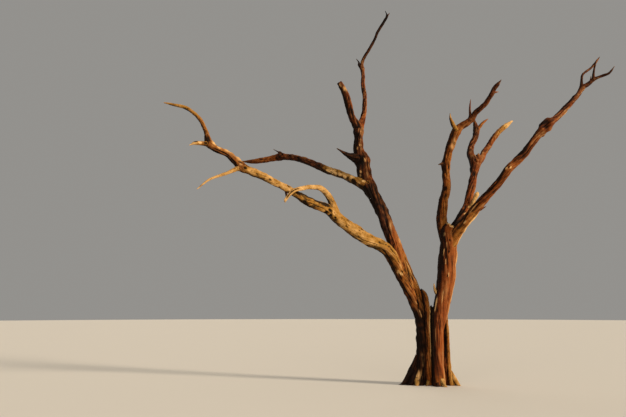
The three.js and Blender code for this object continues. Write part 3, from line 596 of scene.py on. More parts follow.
def walk(name, phase, limbs):
    """Walks a limb's runs from its start, each along its own heading, and moves each joint away from the
    viewer by its sway in girths. A strand is calm, without sway, for its first part."""
    row = LIMBS[name]
    if "foot" in row:
        place = np.array([*row["foot"], 0.0]) * MM
    else:
        place = limbs[row["parent"]].points(np.array([row["at"] * MM]))[0]
    joints, along, girths = [place], [0.0], [row["girth"]]
    for length, lean, turn, girth in row["runs"]:
        place = place + heading(lean, turn) * length * MM
        along.append(along[-1] + length)
        girths.append(girth)
        ramp = min(max((along[-1] - row.get("calm", 0)) / SWAY_RAMP, 0), 1)
        joints.append(place + np.array([0, girth * ramp * sway(along[-1], phase) * MM, 0]))
    tones = TONES.get(name, PLAIN_TONE)
    return Limb(joints, np.array(along) * MM, np.array(girths) * MM, (0, 1, 0), phase, tones)


def grow_toe(row, index, limbs):
    """A root toe: out along its bearing while its height falls as rise (1 - t)^1.8 - a quarter girth t. Its
    girth is 0.4 of the full one at the start, full a third of the way out, and 0.45 of it at the end."""
    strand, bearing, reach, rise, girth = row
    out = np.array([math.cos(math.radians(bearing)), math.sin(math.radians(bearing)), 0])
    t = np.linspace(0, 1, 7)
    joints = limbs[strand].joints[0] + out * (reach * MM * t)[:, None]
    joints[:, 2] = (rise * (1 - t) ** 1.8 - 0.25 * girth * t) * MM
    across = np.cross((0, 0, 1), out)
    girths = girth * MM * np.minimum(1, 0.4 + 1.8 * t) * (1 - 0.55 * t)
    # Toes bleached by blown sand are pale; the others are painted black, as painted shade at the foot.
    bleached, dark = (1.2, 0.0) if index in PALE_TOES else (0.0, 1.6)
    return Limb(joints, reach * MM * t, girths, across, index, [(0, bleached, dark)])


def grow_limbs():
    """Every limb by its name, each parent before what grows from it, and then the toes."""
    limbs = {}
    for index, name in enumerate(LIMBS):
        limbs[name] = walk(name, index * PHASE_STEP, limbs)
    for index, row in enumerate(TOES):
        limbs[f"toe_{index}"] = grow_toe(row, index, limbs)
    return limbs


TREE = grow_limbs()
FORKED = ("left_strand", "leader_strand", "right_strand", "middle_strand")   # they rise over the fork
STRANDS = (*FORKED, "right_strut", "rear_strand", "heart", *(f"toe_{index}" for index in range(len(TOES))))
STRAND_KNIT, LIMB_KNIT = 0.25, 1.1   # width of the fillet where two limbs meet, in radii of the thinner one
KNIT_FADE = 0.3                      # how deep inside the other limb its lift dies away, in widths
CLOSE_KNIT = ({"middle_strand", "leader_strand"}, {"right_strut", "right_strand"})   # grown together
PLAIN_ENDS = ("splinter", "right_hair", "tip_fork", "upright_needle", "upright_barb")   # too thin to tear
NEAR = 1.4                           # how far out a sphere can lift a point, in radii of the limb


def knit(name, points, centres, radius):
    """How far the skin is lifted where it nears another limb. With g the gap from a point to the other
    limb's skin, found from its spheres, and k the fillet's width, the lift is (k - g)^2 / 4k, and it dies
    away inside the other. Spheres too far off to lift any point are left out."""
    lift = np.zeros(points.shape[:2])
    for other, limb in TREE.items():
        if other == name:
            continue
        pair = {name, other}
        strands = name in STRANDS and other in STRANDS or "right_strand" in pair
        share = STRAND_KNIT if strands and pair not in CLOSE_KNIT else LIMB_KNIT
        spots, radii = limb.spheres
        apart = np.linalg.norm(centres[:, None] - spots[None], axis=2) - radii[None]
        width = share * np.minimum(radius[:, None], radii[None])
        close = apart < NEAR * radius[:, None] + width
        rows, columns = close.any(axis=1), close.any(axis=0)
        if not rows.any():
            continue
        gap = np.full(points[rows].shape[:2], np.inf)
        thinner = np.zeros_like(gap)
        for spot, size in zip(spots[columns], radii[columns]):
            here = np.linalg.norm(points[rows] - spot, axis=2) - size
            nearer = here < gap
            gap = np.where(nearer, here, gap)
            thinner = np.where(nearer, np.minimum(size, radius[rows, None]), thinner)
        k = np.maximum(share * thinner, 1e-4)
        outside = np.clip(k - gap, 0, None) ** 2 / (4 * k)
        inside = k / 4 * np.exp(np.minimum(gap, 0) / (KNIT_FADE * k))
        lift[rows] = np.maximum(lift[rows], np.where(gap >= 0, outside, inside))
    return lift


def weather(limb, name, distance, angle, radius):
    """The place of each point in the grain, the height of the weathered wood over the plain section, and its
    wear-and-shade value. The grain is a space of its own: (r cos b, r sin b, run), where b is the angle less
    the turn of the grain, r the radius and run the distance, both grown where the limb is thin, so that its
    pattern is finer. Each layer is noise n in that space, stretched along the limb: strands (|n| / 0.45)^0.6
    with valleys where n is 0, ridges n at two sizes, cracks exp(-(n / 0.09)^2) on the stretches where they
    open, pits where n is over 0.36, and lumps and gnarls n, which swell with the radius. The wear-and-shade
    value is about 0.5 on plain wood, more on what stands proud, as wear, and less in what lies deep, as
    painted shade in the valleys, cracks and pits."""
    turn, shrink, run = (np.interp(distance, limb.stations, values)
                         for values in (limb.turns, limb.shrink, limb.pattern_along))
    around = angle - turn
    grain = np.stack(np.broadcast_arrays(
        radius / shrink * np.cos(around), radius / shrink * np.sin(around), run), axis=-1)
    bleached, _ = limb.tone(distance)
    rough = SMOOTHNESS.get(name, 1.0)
    share = np.clip(radius / FULL_RELIEF_RADIUS, 0.12, 1.2) * rough
    plain = 1 - 0.75 * np.clip(bleached, 0, 1)
    muscle = np.clip(np.abs(grain_noise(grain, MUSCLE, 1)) / 0.45, 0, 1) ** 0.6 - 0.62
    ridge = grain_noise(grain, RIDGE, 2) + 0.5 * grain_noise(grain, FINE_RIDGE, 3)
    opening = smooth(-0.05, 0.3, grain_noise(grain, OPENING, 4))
    crack = np.exp(-(grain_noise(grain, CRACK, 5) / 0.09) ** 2) * opening * plain * rough
    gnarl = grain_noise(grain, GNARL, 7)
    pit = smooth(0.36, 0.6, grain_noise(grain, PIT, 8)) * (0.15 + bleached)
    height = share * (muscle * MUSCLE[2] * plain + ridge * RIDGE[2] - crack * CRACK[2] - pit * PIT[2])
    swelling = radius * (grain_noise(grain, LUMP, 6) * LUMP[2] + gnarl * GNARL[2] * rough)
    # Paler on ridges and gnarls, as wear; darker in the valleys between strands, in cracks and in pits, as
    # painted shade.
    worn = 0.5 + 0.26 * muscle * plain + 0.2 * ridge - 0.6 * crack - 0.3 * pit + 0.3 * gnarl * rough
    return grain, height + swelling, worn


def mark(name, distance, angle, radius):
    """Height, bare wood and black of the marks and seams; the black is painted shade in their pits and
    grooves and along shaded sides. A mark, with q the distance from it in its own sizes: a rim exp(-(q -
    1)^2 / 0.18), less a pit exp(-(q / 0.6)^4), its tone over both. A seam, with q the distance from its
    wandering line in widths, and w rising and falling over its ends: less a groove w exp(-q^2)."""
    height, bare, black = (np.zeros_like(radius) for _ in range(3))

    def tint(tone, share):
        """Adds bare wood for a tone over 0, and black, painted shade, for one under 0, over a share of the
        skin.
        """
        bare[...] += max(tone, 0) * share
        black[...] += max(-tone, 0) * share

    def away(bearing):
        """How far round the skin each point is from a bearing, in metres."""
        return radius * ((angle - np.radians(bearing) + math.pi) % FULL_TURN - math.pi)

    for at, bearing, size, rim, pit, tone in MARKS.get(name, ()):
        q = np.hypot((distance - at * MM) / 1.5, away(bearing)) / (size * MM / 1.2)
        height += (rim * np.exp(-(q - 1) ** 2 / 0.18) - pit * np.exp(-(q / 0.6) ** 4)) * MM
        tint(tone, np.exp(-(q / (1.15 if tone > 0 else 0.8)) ** 4))
    for start, end, bearing, climb, width, depth, tone in SEAMS.get(name, ()):
        t = (distance / MM - start) / (end - start)
        ends = smooth(0, 0.25, t) * smooth(0, 0.25, 1 - t)
        wander = 0.6 * width * MM * np.sin(distance * 9 + start)
        q = (away(bearing + climb * np.clip(t, 0, 1)) + wander) / (width * MM * (0.35 + 0.65 * ends))
        height -= depth * MM * ends * np.exp(-q ** 2)
        tint(tone, ends * np.exp(-(q / 0.95) ** 4))
    return height, bare, black


def jag(limb, name, distance, angle, out, widest):
    """How far the rings near a broken end stand out along the limb: noise round it that grows over the last
    radius, and a slant that grows over the last 120 mm."""
    push = JAG * widest * smooth(limb.length - widest, limb.length, distance) * noise(unit(out) * 2.2, 14)
    push *= SMOOTHNESS.get(name, 1.0)
    if name in SLANTS:
        bearing, reach = SLANTS[name]
        near_end = smooth(limb.length - 0.12, limb.length, distance)
        push += reach * MM * near_end * np.cos(angle - math.radians(bearing))
    return push


def colour_values(limb, name, distance, rings, out, worn, bare, black):
    """What the materials read: the wear-and-shade value of the wood, and its shares of bleached, dark and
    bare wood. Patches of noise move the limb's tones, less where they are dark. Bleached over 1 goes on to
    bare wood, and dark over 1 to black, which is mostly painted shade. The wear-and-shade value is 0.1
    higher where the wood faces the key light, as painted light, and up to 0.45 lower on the far side, as
    painted shade; it is 0.65 lower where it is black and 0.3 higher where it is bare."""
    bleached, dark = limb.tone(distance)
    key_facing = out @ np.array(KEY_LIGHT_SIDE)
    blotch = noise(rings / BLOTCH[0], 15) + 0.6 * noise(rings / BLOTCH[1], 16)
    blotch = 0.5 * blotch * SMOOTHNESS.get(name, 1.0) * np.clip(1.9 - dark, 0.1, 1)
    dark = dark + blotch
    bleached = bleached - 0.8 * blotch * np.clip(bleached * 2, 0, 1)
    black = np.clip(black + np.clip(dark - 1, 0, 1) * (1 - bare), 0, 1)
    bare = np.clip(bare + np.clip(bleached - 1, 0, 1), 0, 1) * (1 - black)
    # Painted light and shade: lighter, more bleached and less dark where the wood faces the key light,
    # darker where it faces away.
    return {
        "worn": worn + 0.10 * key_facing - 0.45 * smooth(-0.1, 0.75, -key_facing) - 0.65 * black + 0.3 * bare,
        "bleached": np.clip(bleached * (0.9 + 0.3 * key_facing) + 0.08 * key_facing, 0, 1),
        "dark": np.clip(dark - 0.35 * key_facing, 0, 1) * (1 - bare),
        "bare": bare,
    }


def skin(name, start, end, sizes):
    """The closed skin of a stretch of a limb on a grid of distance and angle: centreline + radius in the
    section's own directions, with the fillets, the relief and the marks added to the radius. Rings that
    shrink to a pole close each end, torn and uneven where the limb ends in the air."""
    limb = TREE[name]
    widest = limb.girth(np.linspace(start, end, 9)).max() / 2
    ring_step = min(sizes.ring_step, max(widest / 4, FINEST_RINGS))
    distance = np.linspace(start, end, max(FEWEST_RINGS, int((end - start) / ring_step)))[:, None]
    sides = int(np.clip(FULL_TURN * widest / sizes.side_step, *SIDES))
    angle = np.arange(sides)[None] * FULL_TURN / sides
    along, side, other = limb.sections(distance[:, 0])
    centres = limb.points(distance[:, 0])
    out = side[:, None] * np.cos(angle)[..., None] + other[:, None] * np.sin(angle)[..., None]

    last = end >= limb.length - 1e-6
    free = last and name not in STRANDS
    broken = free or last and name in DOMES
    dome = DOMES.get(name, PLAIN_DOME) if broken else 0.0
    tip = smooth(limb.length - 0.9 * widest - 0.05, limb.length, distance) * float(free)

    plain = limb.plain_radius(distance, angle)
    grain, height, worn = weather(limb, name, distance, angle, plain)
    mark_height, bare, black = mark(name, distance, angle, plain)
    lift = knit(name, centres[:, None] + out * plain[..., None], centres, limb.girth(distance[:, 0]) / 2)
    radius = plain + lift + sizes.relief * height + mark_height
    if name not in PLAIN_ENDS:
        radius = radius * (1 - TEAR * tip ** 2 * np.abs(grain_noise(grain, SPLINTER, 13)))
    rings = centres[:, None] + out * np.maximum(radius, LEAST_RADIUS * plain)[..., None]
    if broken and name not in PLAIN_ENDS:
        rings = rings + along[:, None] * jag(limb, name, distance, angle, out, widest)[..., None]

    if dome < 0:
        bare += 0.9 * smooth(limb.length - RIM[0], limb.length - RIM[1], distance)
    pale = name in PALE_TIPS
    bare = np.clip(bare + tip * TIP_BARE[pale], 0, 1)
    grid = {"place": rings, "grain": grain,
            **colour_values(limb, name, distance, rings, out, worn, bare, black)}
    seed = 9 + int(limb.phase * 3)
    first_cap = cap(grid, 0, -along[0], centres[0], seed)
    last_cap = cap(grid, -1, along[-1], centres[-1], seed, dome, FACE_BARE[pale])
    return closed_mesh({key: np.concatenate([first_cap[key][::-1], values, last_cap[key]])
                        for key, values in grid.items()})


def cap(grid, row, out, centre, seed, dome=0.0, bare=0.0):
    """Rings that close an end: the last ring drawn in to a share f of its size and raised by
    dome (1 - f^2) of the radius, with splinters of 0.8 noise where there is a dome, down to almost a point.
    A hollow one is painted darker towards its middle, painted shade, and a domed one is bare wood."""
    shares = np.array(CAP_SHARES)[:, None]
    ring = grid["place"][row]
    size = np.linalg.norm(ring - centre, axis=1).mean()
    spots = (ring - centre)[None] * shares[..., None]
    raised = dome * (1 - shares ** 2) + np.zeros(spots.shape[:2])
    if dome:
        raised += 0.8 * np.abs(noise(spots / (0.35 * size + 1e-6), seed))
    made = {"place": centre + spots + out * (size * raised)[..., None]}
    drawn_in = np.concatenate([shares, shares, np.ones_like(shares)], axis=1)
    made["grain"] = grid["grain"][row][None] * drawn_in[:, None]
    for key in ("worn", "bleached", "dark", "bare"):
        made[key] = np.repeat(grid[key][row][None], len(shares), axis=0)
    # Painted shade: a hollow end darkens towards its middle.
    if dome < 0:
        made["worn"] -= 0.9 * (1 - shares)
    elif dome > 0:
        made["bare"] = np.maximum(made["bare"], bare)
    return made


def closed_mesh(rows):
    """Values and faces of a grid that is closed round, with a pole at each end. A pole has the mean of the
    values of its ring."""
    count, sides = rows["place"].shape[:2]
    ids = np.arange(count * sides).reshape(count, sides)
    turned = np.roll(ids, -1, axis=1)
    quads = np.stack([ids[:-1], turned[:-1], turned[1:], ids[1:]], axis=-1).reshape(-1, 4)
    first = np.stack([np.full(sides, count * sides), turned[0], ids[0]], axis=-1)
    last = np.stack([np.full(sides, count * sides + 1), ids[-1], turned[-1]], axis=-1)
    values = {}
    for key, grid in rows.items():
        flat = grid.reshape(count, sides, -1)
        values[key] = np.vstack([flat.reshape(count * sides, -1), flat[0].mean(0), flat[-1].mean(0)])
    return values, (quads, np.vstack([first, last]))


def mesh_from(values, kinds, name):
    """Puts whole arrays of points, values and faces into a Blender mesh. Each kind of faces is an array with
    one row of corners for each face."""
    mesh = bpy.data.meshes.new(name)
    mesh.vertices.add(len(values["place"]))
    mesh.vertices.foreach_set("co", values["place"].astype(np.float32).ravel())
    corners = np.concatenate([faces.ravel() for faces in kinds]).astype(np.int32)
    sizes = np.concatenate([np.full(len(faces), faces.shape[1]) for faces in kinds])
    mesh.loops.add(len(corners))
    mesh.loops.foreach_set("vertex_index", corners)
    mesh.polygons.add(len(sizes))
    mesh.polygons.foreach_set("loop_start", (np.cumsum(sizes) - sizes).astype(np.int32))
    for key, width in VALUES.items():
        kind, field = ("FLOAT_VECTOR", "vector") if width == 3 else ("FLOAT", "value")
        data = mesh.attributes.new(key, kind, "POINT").data
        data.foreach_set(field, values[key].astype(np.float32).ravel())
    mesh.update(calc_edges=True)
    mesh.validate()
    return mesh


def read_mesh(mesh):
    """The points of a Blender mesh, the values that go with them, and its faces cut into triangles."""
    values = {"place": np.empty((len(mesh.vertices), 3), np.float32)}
    mesh.vertices.foreach_get("co", values["place"].ravel())
    for key, width in VALUES.items():
        values[key] = np.empty((len(mesh.vertices), width), np.float32)
        field = "vector" if width == 3 else "value"
        mesh.attributes[key].data.foreach_get(field, values[key].ravel())
    mesh.calc_loop_triangles()
    triangles = np.empty((len(mesh.loop_triangles), 3), np.int32)
    mesh.loop_triangles.foreach_get("vertices", triangles.ravel())
    return values, triangles


def outer_skin(values, triangles):
    """The largest closed skin of a joined mesh. Points in one place become one point, and two faces belong
    together where no third face shares their edge, so pockets sealed between two limbs and flaps of no
    thickness fall away. Each face takes the lowest number among its neighbours until none changes, which
    leaves one number to each skin."""
    _, first, same = np.unique(values["place"], axis=0, return_index=True, return_inverse=True)
    triangles = same.reshape(-1)[triangles]
    corners = np.sort(triangles, axis=1)
    three_points = (corners[:, :-1] != corners[:, 1:]).all(axis=1)
    triangles, corners = triangles[three_points], corners[three_points]
    _, twin, copies = np.unique(corners, axis=0, return_inverse=True, return_counts=True)
    triangles = triangles[copies[twin.reshape(-1)] == 1]
    edges = np.sort(np.stack([triangles, np.roll(triangles, -1, axis=1)], axis=-1).reshape(-1, 2), axis=1)
    _, edge, uses = np.unique(edges, axis=0, return_inverse=True, return_counts=True)
    edge = edge.reshape(-1)
    order = np.argsort(edge, kind="stable")
    neighbours = order[uses[edge[order]] == 2].reshape(-1, 2) // 3
    group, before = np.arange(len(triangles)), None
    while before is None or (group != before).any():
        before = group.copy()
        np.minimum.at(group, neighbours, before[neighbours].min(axis=1)[:, None])
        group = group[group]
    kept = triangles[group == np.bincount(group).argmax()]
    used, kept = np.unique(kept, return_inverse=True)
    return {key: array[first[used]] for key, array in values.items()}, kept.reshape(-1, 3)


def new_object(name, data):
    """An object with some data, put into the scene."""
    obj = bpy.data.objects.new(name, data)
    bpy.context.scene.collection.objects.link(obj)
    return obj


def join_skins(skins, name, ground=False):
    """One closed skin from overlapping ones, by Boolean union, cut flat at the ground where asked."""
    objects = [new_object(f"{name}_{index}", mesh_from(*parts, f"{name}_{index}"))
               for index, parts in enumerate(skins)]
    joined = objects[0]
    others = [(obj, "UNION") for obj in objects[1:]]
    if ground:
        block = new_object("below_ground", bpy.data.meshes.new("below_ground"))
        corners = np.array(list(itertools.product(*GROUND_BLOCK)), float)
        faces = [(0, 1, 3, 2), (4, 6, 7, 5), (0, 4, 5, 1), (2, 3, 7, 6), (0, 2, 6, 4), (1, 5, 7, 3)]
        block.data.from_pydata(corners.tolist(), [], faces)
        others.append((block, "DIFFERENCE"))
    for obj, operation in others:
        modifier = joined.modifiers.new(operation, "BOOLEAN")
        modifier.object = obj
        modifier.operation = operation
        modifier.solver = "MANIFOLD"
    if others:
        bpy.context.view_layer.update()
        made = bpy.data.meshes.new_from_object(joined.evaluated_get(bpy.context.evaluated_depsgraph_get()))
        if not made.polygons:
            raise RuntimeError(f"the skins of {name} did not join")
        values, triangles = outer_skin(*read_mesh(made))
        joined.modifiers.clear()
        joined.data = mesh_from(values, [triangles], name)
    for obj, _ in others:
        bpy.data.objects.remove(obj)
    joined.name = joined.data.name = name
    return joined


def add(tree, kind, inputs=(), **settings):
    """Adds a node with its settings, and sets each input to a value or links it to another node's output."""
    node = tree.nodes.new(kind)
    for name, value in settings.items():
        setattr(node, name, value)
    for key, value in dict(inputs).items():
        if isinstance(value, bpy.types.NodeSocket):
            tree.links.new(value, node.inputs[key])
        else:
            node.inputs[key].default_value = value
    return node


def blend(low, high, share):
    """A colour that share of the way from low to high, with alpha 1."""
    return tuple(a + (b - a) * share for a, b in zip(low, high)) + (1.0,)


def wood_ramp(tree, value, plain, colours):
    """Colours from the bottom of a crack, through shade and plain wood, to a bleached ridge."""
    ramp = add(tree, "ShaderNodeValToRGB", {"Fac": value})
    stops = [(0.06, blend(colours.crack, plain, 0.04)), (0.30, blend(colours.crack, plain, 0.42)),
             (0.52, blend(plain, plain, 0)), (0.78, blend(plain, colours.torn, 0.14)),
             (0.98, blend(plain, colours.torn, 0.45))]
    elements = ramp.color_ramp.elements
    while len(elements) < len(stops):
        elements.new(0.5)
    for element, stop in zip(elements, stops):
        element.position, element.color = stop
    return ramp.outputs["Color"]


# The wood's own pattern: spacing across and along in metres, and how fine its detail goes. Its marks are
# half as far apart as its spacing.
FIBRES = (0.012, 0.20, 2.0)     # fibres 6 mm apart; the real ones are under 1 mm and would not show
STREAKS = (0.045, 0.70, 3.0)    # streaks of the grain, 22 mm apart
PATCHES = (0.18, 0.18, 2.0)     # weathered patches, 90 mm apart
SPECKS = (0.022, 0.022, 2.0)    # specks of rot and dust, 11 mm apart
DRY_SHEEN = 0.12                # open grain mirrors about a quarter of what polished wood does, 0.5
WOOD_IOR = 1.5                  # cellulose
BUMP_DEPTH = 0.004              # how deep the fibres and specks are in the light, in metres
FIBRE_BUMP = 1.6                # fibres in it for each part of specks


def wood_material(name, roughness, fibre, streak, patch, speck):
    """Old wood. fibre, streak, patch and speck say how much each pattern moves the colour round the mesh's
    wear-and-shade value, which holds painted shade as well as wear. Ramps of the four woods are mixed by the
    mesh's dark, bleached and bare shares."""
    colours = bpy.context.scene.tree_colours
    material = bpy.data.materials.new(name)
    material.use_nodes = True
    tree = material.node_tree
    shader = tree.nodes["Principled BSDF"]
    value = {key: add(tree, "ShaderNodeAttribute", attribute_name=key).outputs["Fac"]
             for key in ("worn", "bleached", "dark", "bare")}
    grain = add(tree, "ShaderNodeAttribute", attribute_name="grain").outputs["Vector"]
    place = add(tree, "ShaderNodeTexCoord").outputs["Object"]

    def pattern(vector, size, length, detail):
        """Noise stretched to a spacing across and along."""
        spaced = add(tree, "ShaderNodeVectorMath", {0: vector, 1: (1 / size, 1 / size, 1 / length)},
                     operation="MULTIPLY")
        inputs = {"Vector": spaced.outputs[0], "Scale": 1.0, "Detail": detail}
        return add(tree, "ShaderNodeTexNoise", inputs).outputs["Fac"]

    def moved(base, by, share):
        """base + by x share."""
        return add(tree, "ShaderNodeMath", {0: by, 1: share, 2: base}, operation="MULTIPLY_ADD").outputs[0]

    fibres, specks = pattern(grain, *FIBRES), pattern(place, *SPECKS)
    tone = value["worn"]
    for cloud, share in ((fibres, fibre), (pattern(grain, *STREAKS), streak),
                         (pattern(place, *PATCHES), patch), (specks, speck)):
        tone = moved(tone, cloud, 2 * share)
    tone = add(tree, "ShaderNodeMath", {0: tone, 1: fibre + streak + patch + speck}, operation="SUBTRACT")
    tone = tone.outputs[0]
    colour = wood_ramp(tree, tone, colours.heartwood, colours)
    for plain, share in ((colours.limb, "dark"), (colours.bleached, "bleached"), (colours.torn, "bare")):
        mix = add(tree, "ShaderNodeMix", {0: value[share], 6: colour,
                                          7: wood_ramp(tree, tone, plain, colours)}, data_type="RGBA")
        colour = mix.outputs[2]
    tree.links.new(colour, shader.inputs["Base Color"])
    for key, number in (("Roughness", roughness), ("Specular IOR Level", DRY_SHEEN), ("IOR", WOOD_IOR)):
        shader.inputs[key].default_value = number
    rough_wood = moved(specks, fibres, FIBRE_BUMP)
    bump = add(tree, "ShaderNodeBump", {"Height": rough_wood, "Strength": 0.7, "Distance": BUMP_DEPTH})
    tree.links.new(bump.outputs["Normal"], shader.inputs["Normal"])
    return material


# Where limbs are divided between pieces, in millimetres along them.
CUTS = {"left_strand": (2330, 5825, 6480), "leader_strand": (2450, 5300), "right_prong": (1665,),
        "left_upright": (2300,), "middle": (1990,), "right": (2955, 4075)}


def stretch(text):
    """A limb's name and the ends of one of its stretches, in metres: "middle 1" is the stretch after the
    first cut of the limb middle, and "middle" its first stretch. A strand over the fork is cut there too."""
    name, _, number = text.partition(" ")
    number = int(number or 0)
    limb = TREE[name]
    cuts = [0, *CUTS.get(name, ())]
    if name in FORKED:
        cuts.insert(1, np.interp(FORK_HEIGHT * MM, limb.spheres[0][:, 2], limb.stations) / MM)
    ends = [cut * MM for cut in cuts] + [limb.length]
    return name, ends[number], ends[number + 1]


# What each piece is grown from, in the order of the part's own nodes: slot, then stretches of limbs.
PIECES = {
    "trunk": ("trunk_wood", *STRANDS),
    "left_stem": ("trunk_wood", "left_strand 1", "leader_strand 1", "middle_strand 1"),
    "right_stem": ("trunk_wood", "right_strand 1", "splinter"),
    "low_bough": ("bleached_wood", "left_strand 2", "under_spur"),
    "low_bough_end": ("bleached_wood", "left_strand 3"),
    "low_bough_curl": ("bleached_wood", "curl"),
    "hanging_twig": ("bleached_wood", "hanging_twig"),
    "far_left_twigs": ("twig_wood", "left_strand 4", "left_stub"),
    "leader": ("bough_wood", "leader_strand 2", "leader_spur"),
    "upper_left_bough": ("bough_wood", "upper_left", "knob_spur"),
    "leader_left_prong": ("bough_wood", "leader_strand 3"),
    "leader_right_prong": ("bough_wood", "right_prong", "kink_spur"),
    "crown_tip_twigs": ("twig_wood", "right_prong 1", "tip_fork"),
    "right_bough": ("bough_wood", "right", "right_flake"),
    "left_upright_bough": ("bough_wood", "left_upright", "upright_knob", "upright_thorn"),
    "left_upright_end": ("bough_wood", "left_upright 1", "upright_needle", "upright_barb"),
    "middle_bough": ("bough_wood", "middle", "middle_stub"),
    "middle_bough_prong": ("bough_wood", "middle 1", "middle_twig"),
    "middle_bough_fork": ("bough_wood", "middle_fork", "fork_knob"),
    "right_bough_upper": ("bough_wood", "right 1"),
    "right_end_twigs": ("twig_wood", "right 2", "right_loop", "right_twig", "right_hair"),
}

# Each slot's wood: name, roughness, and how much fibres, streaks, patches and specks move the colour.
WOODS = {
    # Bark long gone, the heartwood rubbed by blown sand: long orange-brown streaks with a low, dull sheen.
    "trunk_wood": ("Bark-stripped thorn heartwood", 0.84, 0.20, 0.36, 0.16, 0.08),
    # Limb wood dried by wind until its grain opened: dark, matt and patchy, with pale raised fibres.
    "bough_wood": ("Weathered thorn limb wood", 0.87, 0.18, 0.30, 0.22, 0.13),
    # Sapwood bleached by years of sun: straw-coloured, blotched and pitted, the least dull of the four.
    "bleached_wood": ("Sun-bleached thorn sapwood", 0.82, 0.18, 0.26, 0.42, 0.22),
    # Twigs dried right through: flat and dusty, more specked than streaked, with no sheen.
    "twig_wood": ("Dry thorn twig wood", 0.9, 0.14, 0.24, 0.28, 0.18),
}
SHARP_EDGE = math.radians(70)


def wood(slot):
    """The slot's material, made the first time that it is asked for."""
    name = WOODS[slot][0]
    return bpy.data.materials.get(name) or wood_material(*WOODS[slot])


def grow_piece(node, sizes):
    """Grows one piece over its node: the skins of its stretches, joined, with the wood of its slot."""
    slot, *stretches = PIECES[node]
    skins = [skin(*stretch(row), sizes) for row in stretches]
    piece = join_skins(skins, f"{node}_wood", ground=node == "trunk")
    piece.data.materials.clear()
    piece.data.materials.append(wood(slot))
    piece.data.shade_smooth()
    piece.data.set_sharp_from_angle(angle=SHARP_EDGE)
    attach(piece, "root")
    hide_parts(node)


class GrowPieces:
    """What the operators below share: each grows the pieces whose nodes it names."""
    nodes = ()

    def execute(self, context):
        for node in self.nodes:
            grow_piece(node, context.scene.tree_sizes)
        return {"FINISHED"}


class TREE_OT_trunk(GrowPieces, Operator):
    """Grow the fluted trunk with its root toes"""
    bl_idname = "tree.trunk"
    bl_label = "Trunk"
    nodes = ("trunk",)


class TREE_OT_stems(GrowPieces, Operator):
    """Grow the two stems over the fork"""
    bl_idname = "tree.stems"
    bl_label = "Stems"
    nodes = ("left_stem", "right_stem")


class TREE_OT_low_bough(GrowPieces, Operator):
    """Grow the long low bough with its end, its curl and its hanging twig"""
    bl_idname = "tree.low_bough"
    bl_label = "Low bough"
    nodes = ("low_bough", "low_bough_end", "low_bough_curl", "hanging_twig")


class TREE_OT_left_crown(GrowPieces, Operator):
    """Grow the leader with its side bough and its two prongs"""
    bl_idname = "tree.left_crown"
    bl_label = "Left crown"
    nodes = ("leader", "upper_left_bough", "leader_left_prong", "leader_right_prong")


class TREE_OT_right_crown(GrowPieces, Operator):
    """Grow the three boughs of the right stem with their ends"""
    bl_idname = "tree.right_crown"
    bl_label = "Right crown"
    nodes = ("left_upright_bough", "left_upright_end", "middle_bough", "middle_bough_prong",
             "middle_bough_fork", "right_bough", "right_bough_upper")


class TREE_OT_twigs(GrowPieces, Operator):
    """Grow the three groups of bare twigs"""
    bl_idname = "tree.twigs"
    bl_label = "Twigs"
    nodes = ("far_left_twigs", "crown_tip_twigs", "right_end_twigs")


CAMERA_PLACE = (-2.205, -13.0, 1.412)   # at chest height, 13 m from the trunk
CAMERA_PITCH = math.radians(8.06)
LENS, SENSOR = 40, 36                   # in millimetres
FLOOR_RADIUS = 70.0

# How soft each light is in degrees, the way to it, and its colour.
LIGHTS = {
    "key": (10, (0.86, -0.42, 0.29), "#fff0da"),
    "fill": (60, (-0.15, -0.95, 0.28), "#fff4e6"),
    "back": (60, (-0.35, 0.85, 0.40), "#fff4e6"),
}


def make_floor(look):
    """A flat disc at ground level, with its rim at radius (cos a, sin a)."""
    angle = np.linspace(0, FULL_TURN, 96, endpoint=False)
    rim = np.stack([FLOOR_RADIUS * np.cos(angle), FLOOR_RADIUS * np.sin(angle), 0 * angle], axis=1)
    mesh = bpy.data.meshes.new("floor")
    mesh.from_pydata(rim.tolist(), [], [list(range(len(rim)))])
    # Matt paint, rolled on: even and pale with no gloss, so that nothing but shadow shows on it.
    paint = bpy.data.materials.new("Pale matt studio floor")
    paint.use_nodes = True
    shader = paint.node_tree.nodes["Principled BSDF"]
    shader.inputs["Base Color"].default_value = (*look.floor, 1)
    shader.inputs["Roughness"].default_value = 0.95
    mesh.materials.append(paint)
    new_object("floor", mesh)


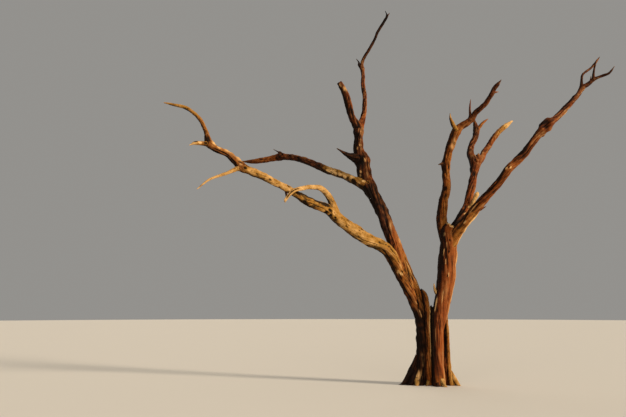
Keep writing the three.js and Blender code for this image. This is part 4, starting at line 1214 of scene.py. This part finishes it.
def make_lights(look, scene):
    """Three soft lights of the look's strengths, and pale light from all round."""
    for name, (spread, towards, tint) in LIGHTS.items():
        lamp = bpy.data.lights.new(name, "SUN")
        lamp.energy = getattr(look, name)
        lamp.angle = math.radians(spread)
        lamp.color = srgb(tint)
        light = new_object(name, lamp)
        light.rotation_euler = Vector(towards).to_track_quat("Z", "Y").to_euler()
    world = bpy.data.worlds.new("pale surroundings")
    world.use_nodes = True
    sky = world.node_tree.nodes["Background"]
    sky.inputs["Color"].default_value = (*srgb("#f2efe9"), 1)
    sky.inputs["Strength"].default_value = look.sky
    scene.world = world
    scene.view_settings.view_transform = "Standard"


def make_camera(scene):
    """A camera that looks along +Y, tilted up by its pitch."""
    camera = new_object("camera", bpy.data.cameras.new("camera"))
    camera.data.lens = LENS
    camera.data.sensor_width = SENSOR
    camera.location = CAMERA_PLACE
    camera.rotation_euler = (math.pi / 2 + CAMERA_PITCH, 0, 0)
    scene.camera = camera


class TREE_OT_stage(Operator):
    """Make the floor, the lights and the camera"""
    bl_idname = "tree.stage"
    bl_label = "Stage"

    def execute(self, context):
        look = context.scene.tree_stage
        make_floor(look)
        make_lights(look, context.scene)
        make_camera(context.scene)
        return {"FINISHED"}


class TREE_PT_tree(Panel):
    """Lists the tree's sizes, colours and operators"""
    bl_label = "Dead thorn tree"
    bl_idname = "TREE_PT_tree"
    bl_space_type = "VIEW_3D"
    bl_region_type = "UI"
    bl_category = "Tree"

    def draw(self, context):
        for group in (context.scene.tree_sizes, context.scene.tree_colours, context.scene.tree_stage):
            for name in type(group).__annotations__:
                self.layout.prop(group, name)
        for operator in OPERATORS:
            self.layout.operator(operator.bl_idname)


GROUPS = {"tree_sizes": TreeSizes, "tree_colours": WoodColours, "tree_stage": StageLook}
OPERATORS = (TREE_OT_stage, TREE_OT_trunk, TREE_OT_stems, TREE_OT_low_bough, TREE_OT_left_crown,
             TREE_OT_right_crown, TREE_OT_twigs)


def register():
    for kind in (*GROUPS.values(), *OPERATORS, TREE_PT_tree):
        bpy.utils.register_class(kind)
    for name, group in GROUPS.items():
        setattr(bpy.types.Scene, name, PointerProperty(type=group))


def unregister():
    for name in GROUPS:
        delattr(bpy.types.Scene, name)
    for kind in (TREE_PT_tree, *reversed(OPERATORS), *reversed(tuple(GROUPS.values()))):
        bpy.utils.unregister_class(kind)


def main():
    register()
    for operator in OPERATORS:
        group, name = operator.bl_idname.split(".")
        getattr(getattr(bpy.ops, group), name)()


if __name__ == "__main__":
    main()
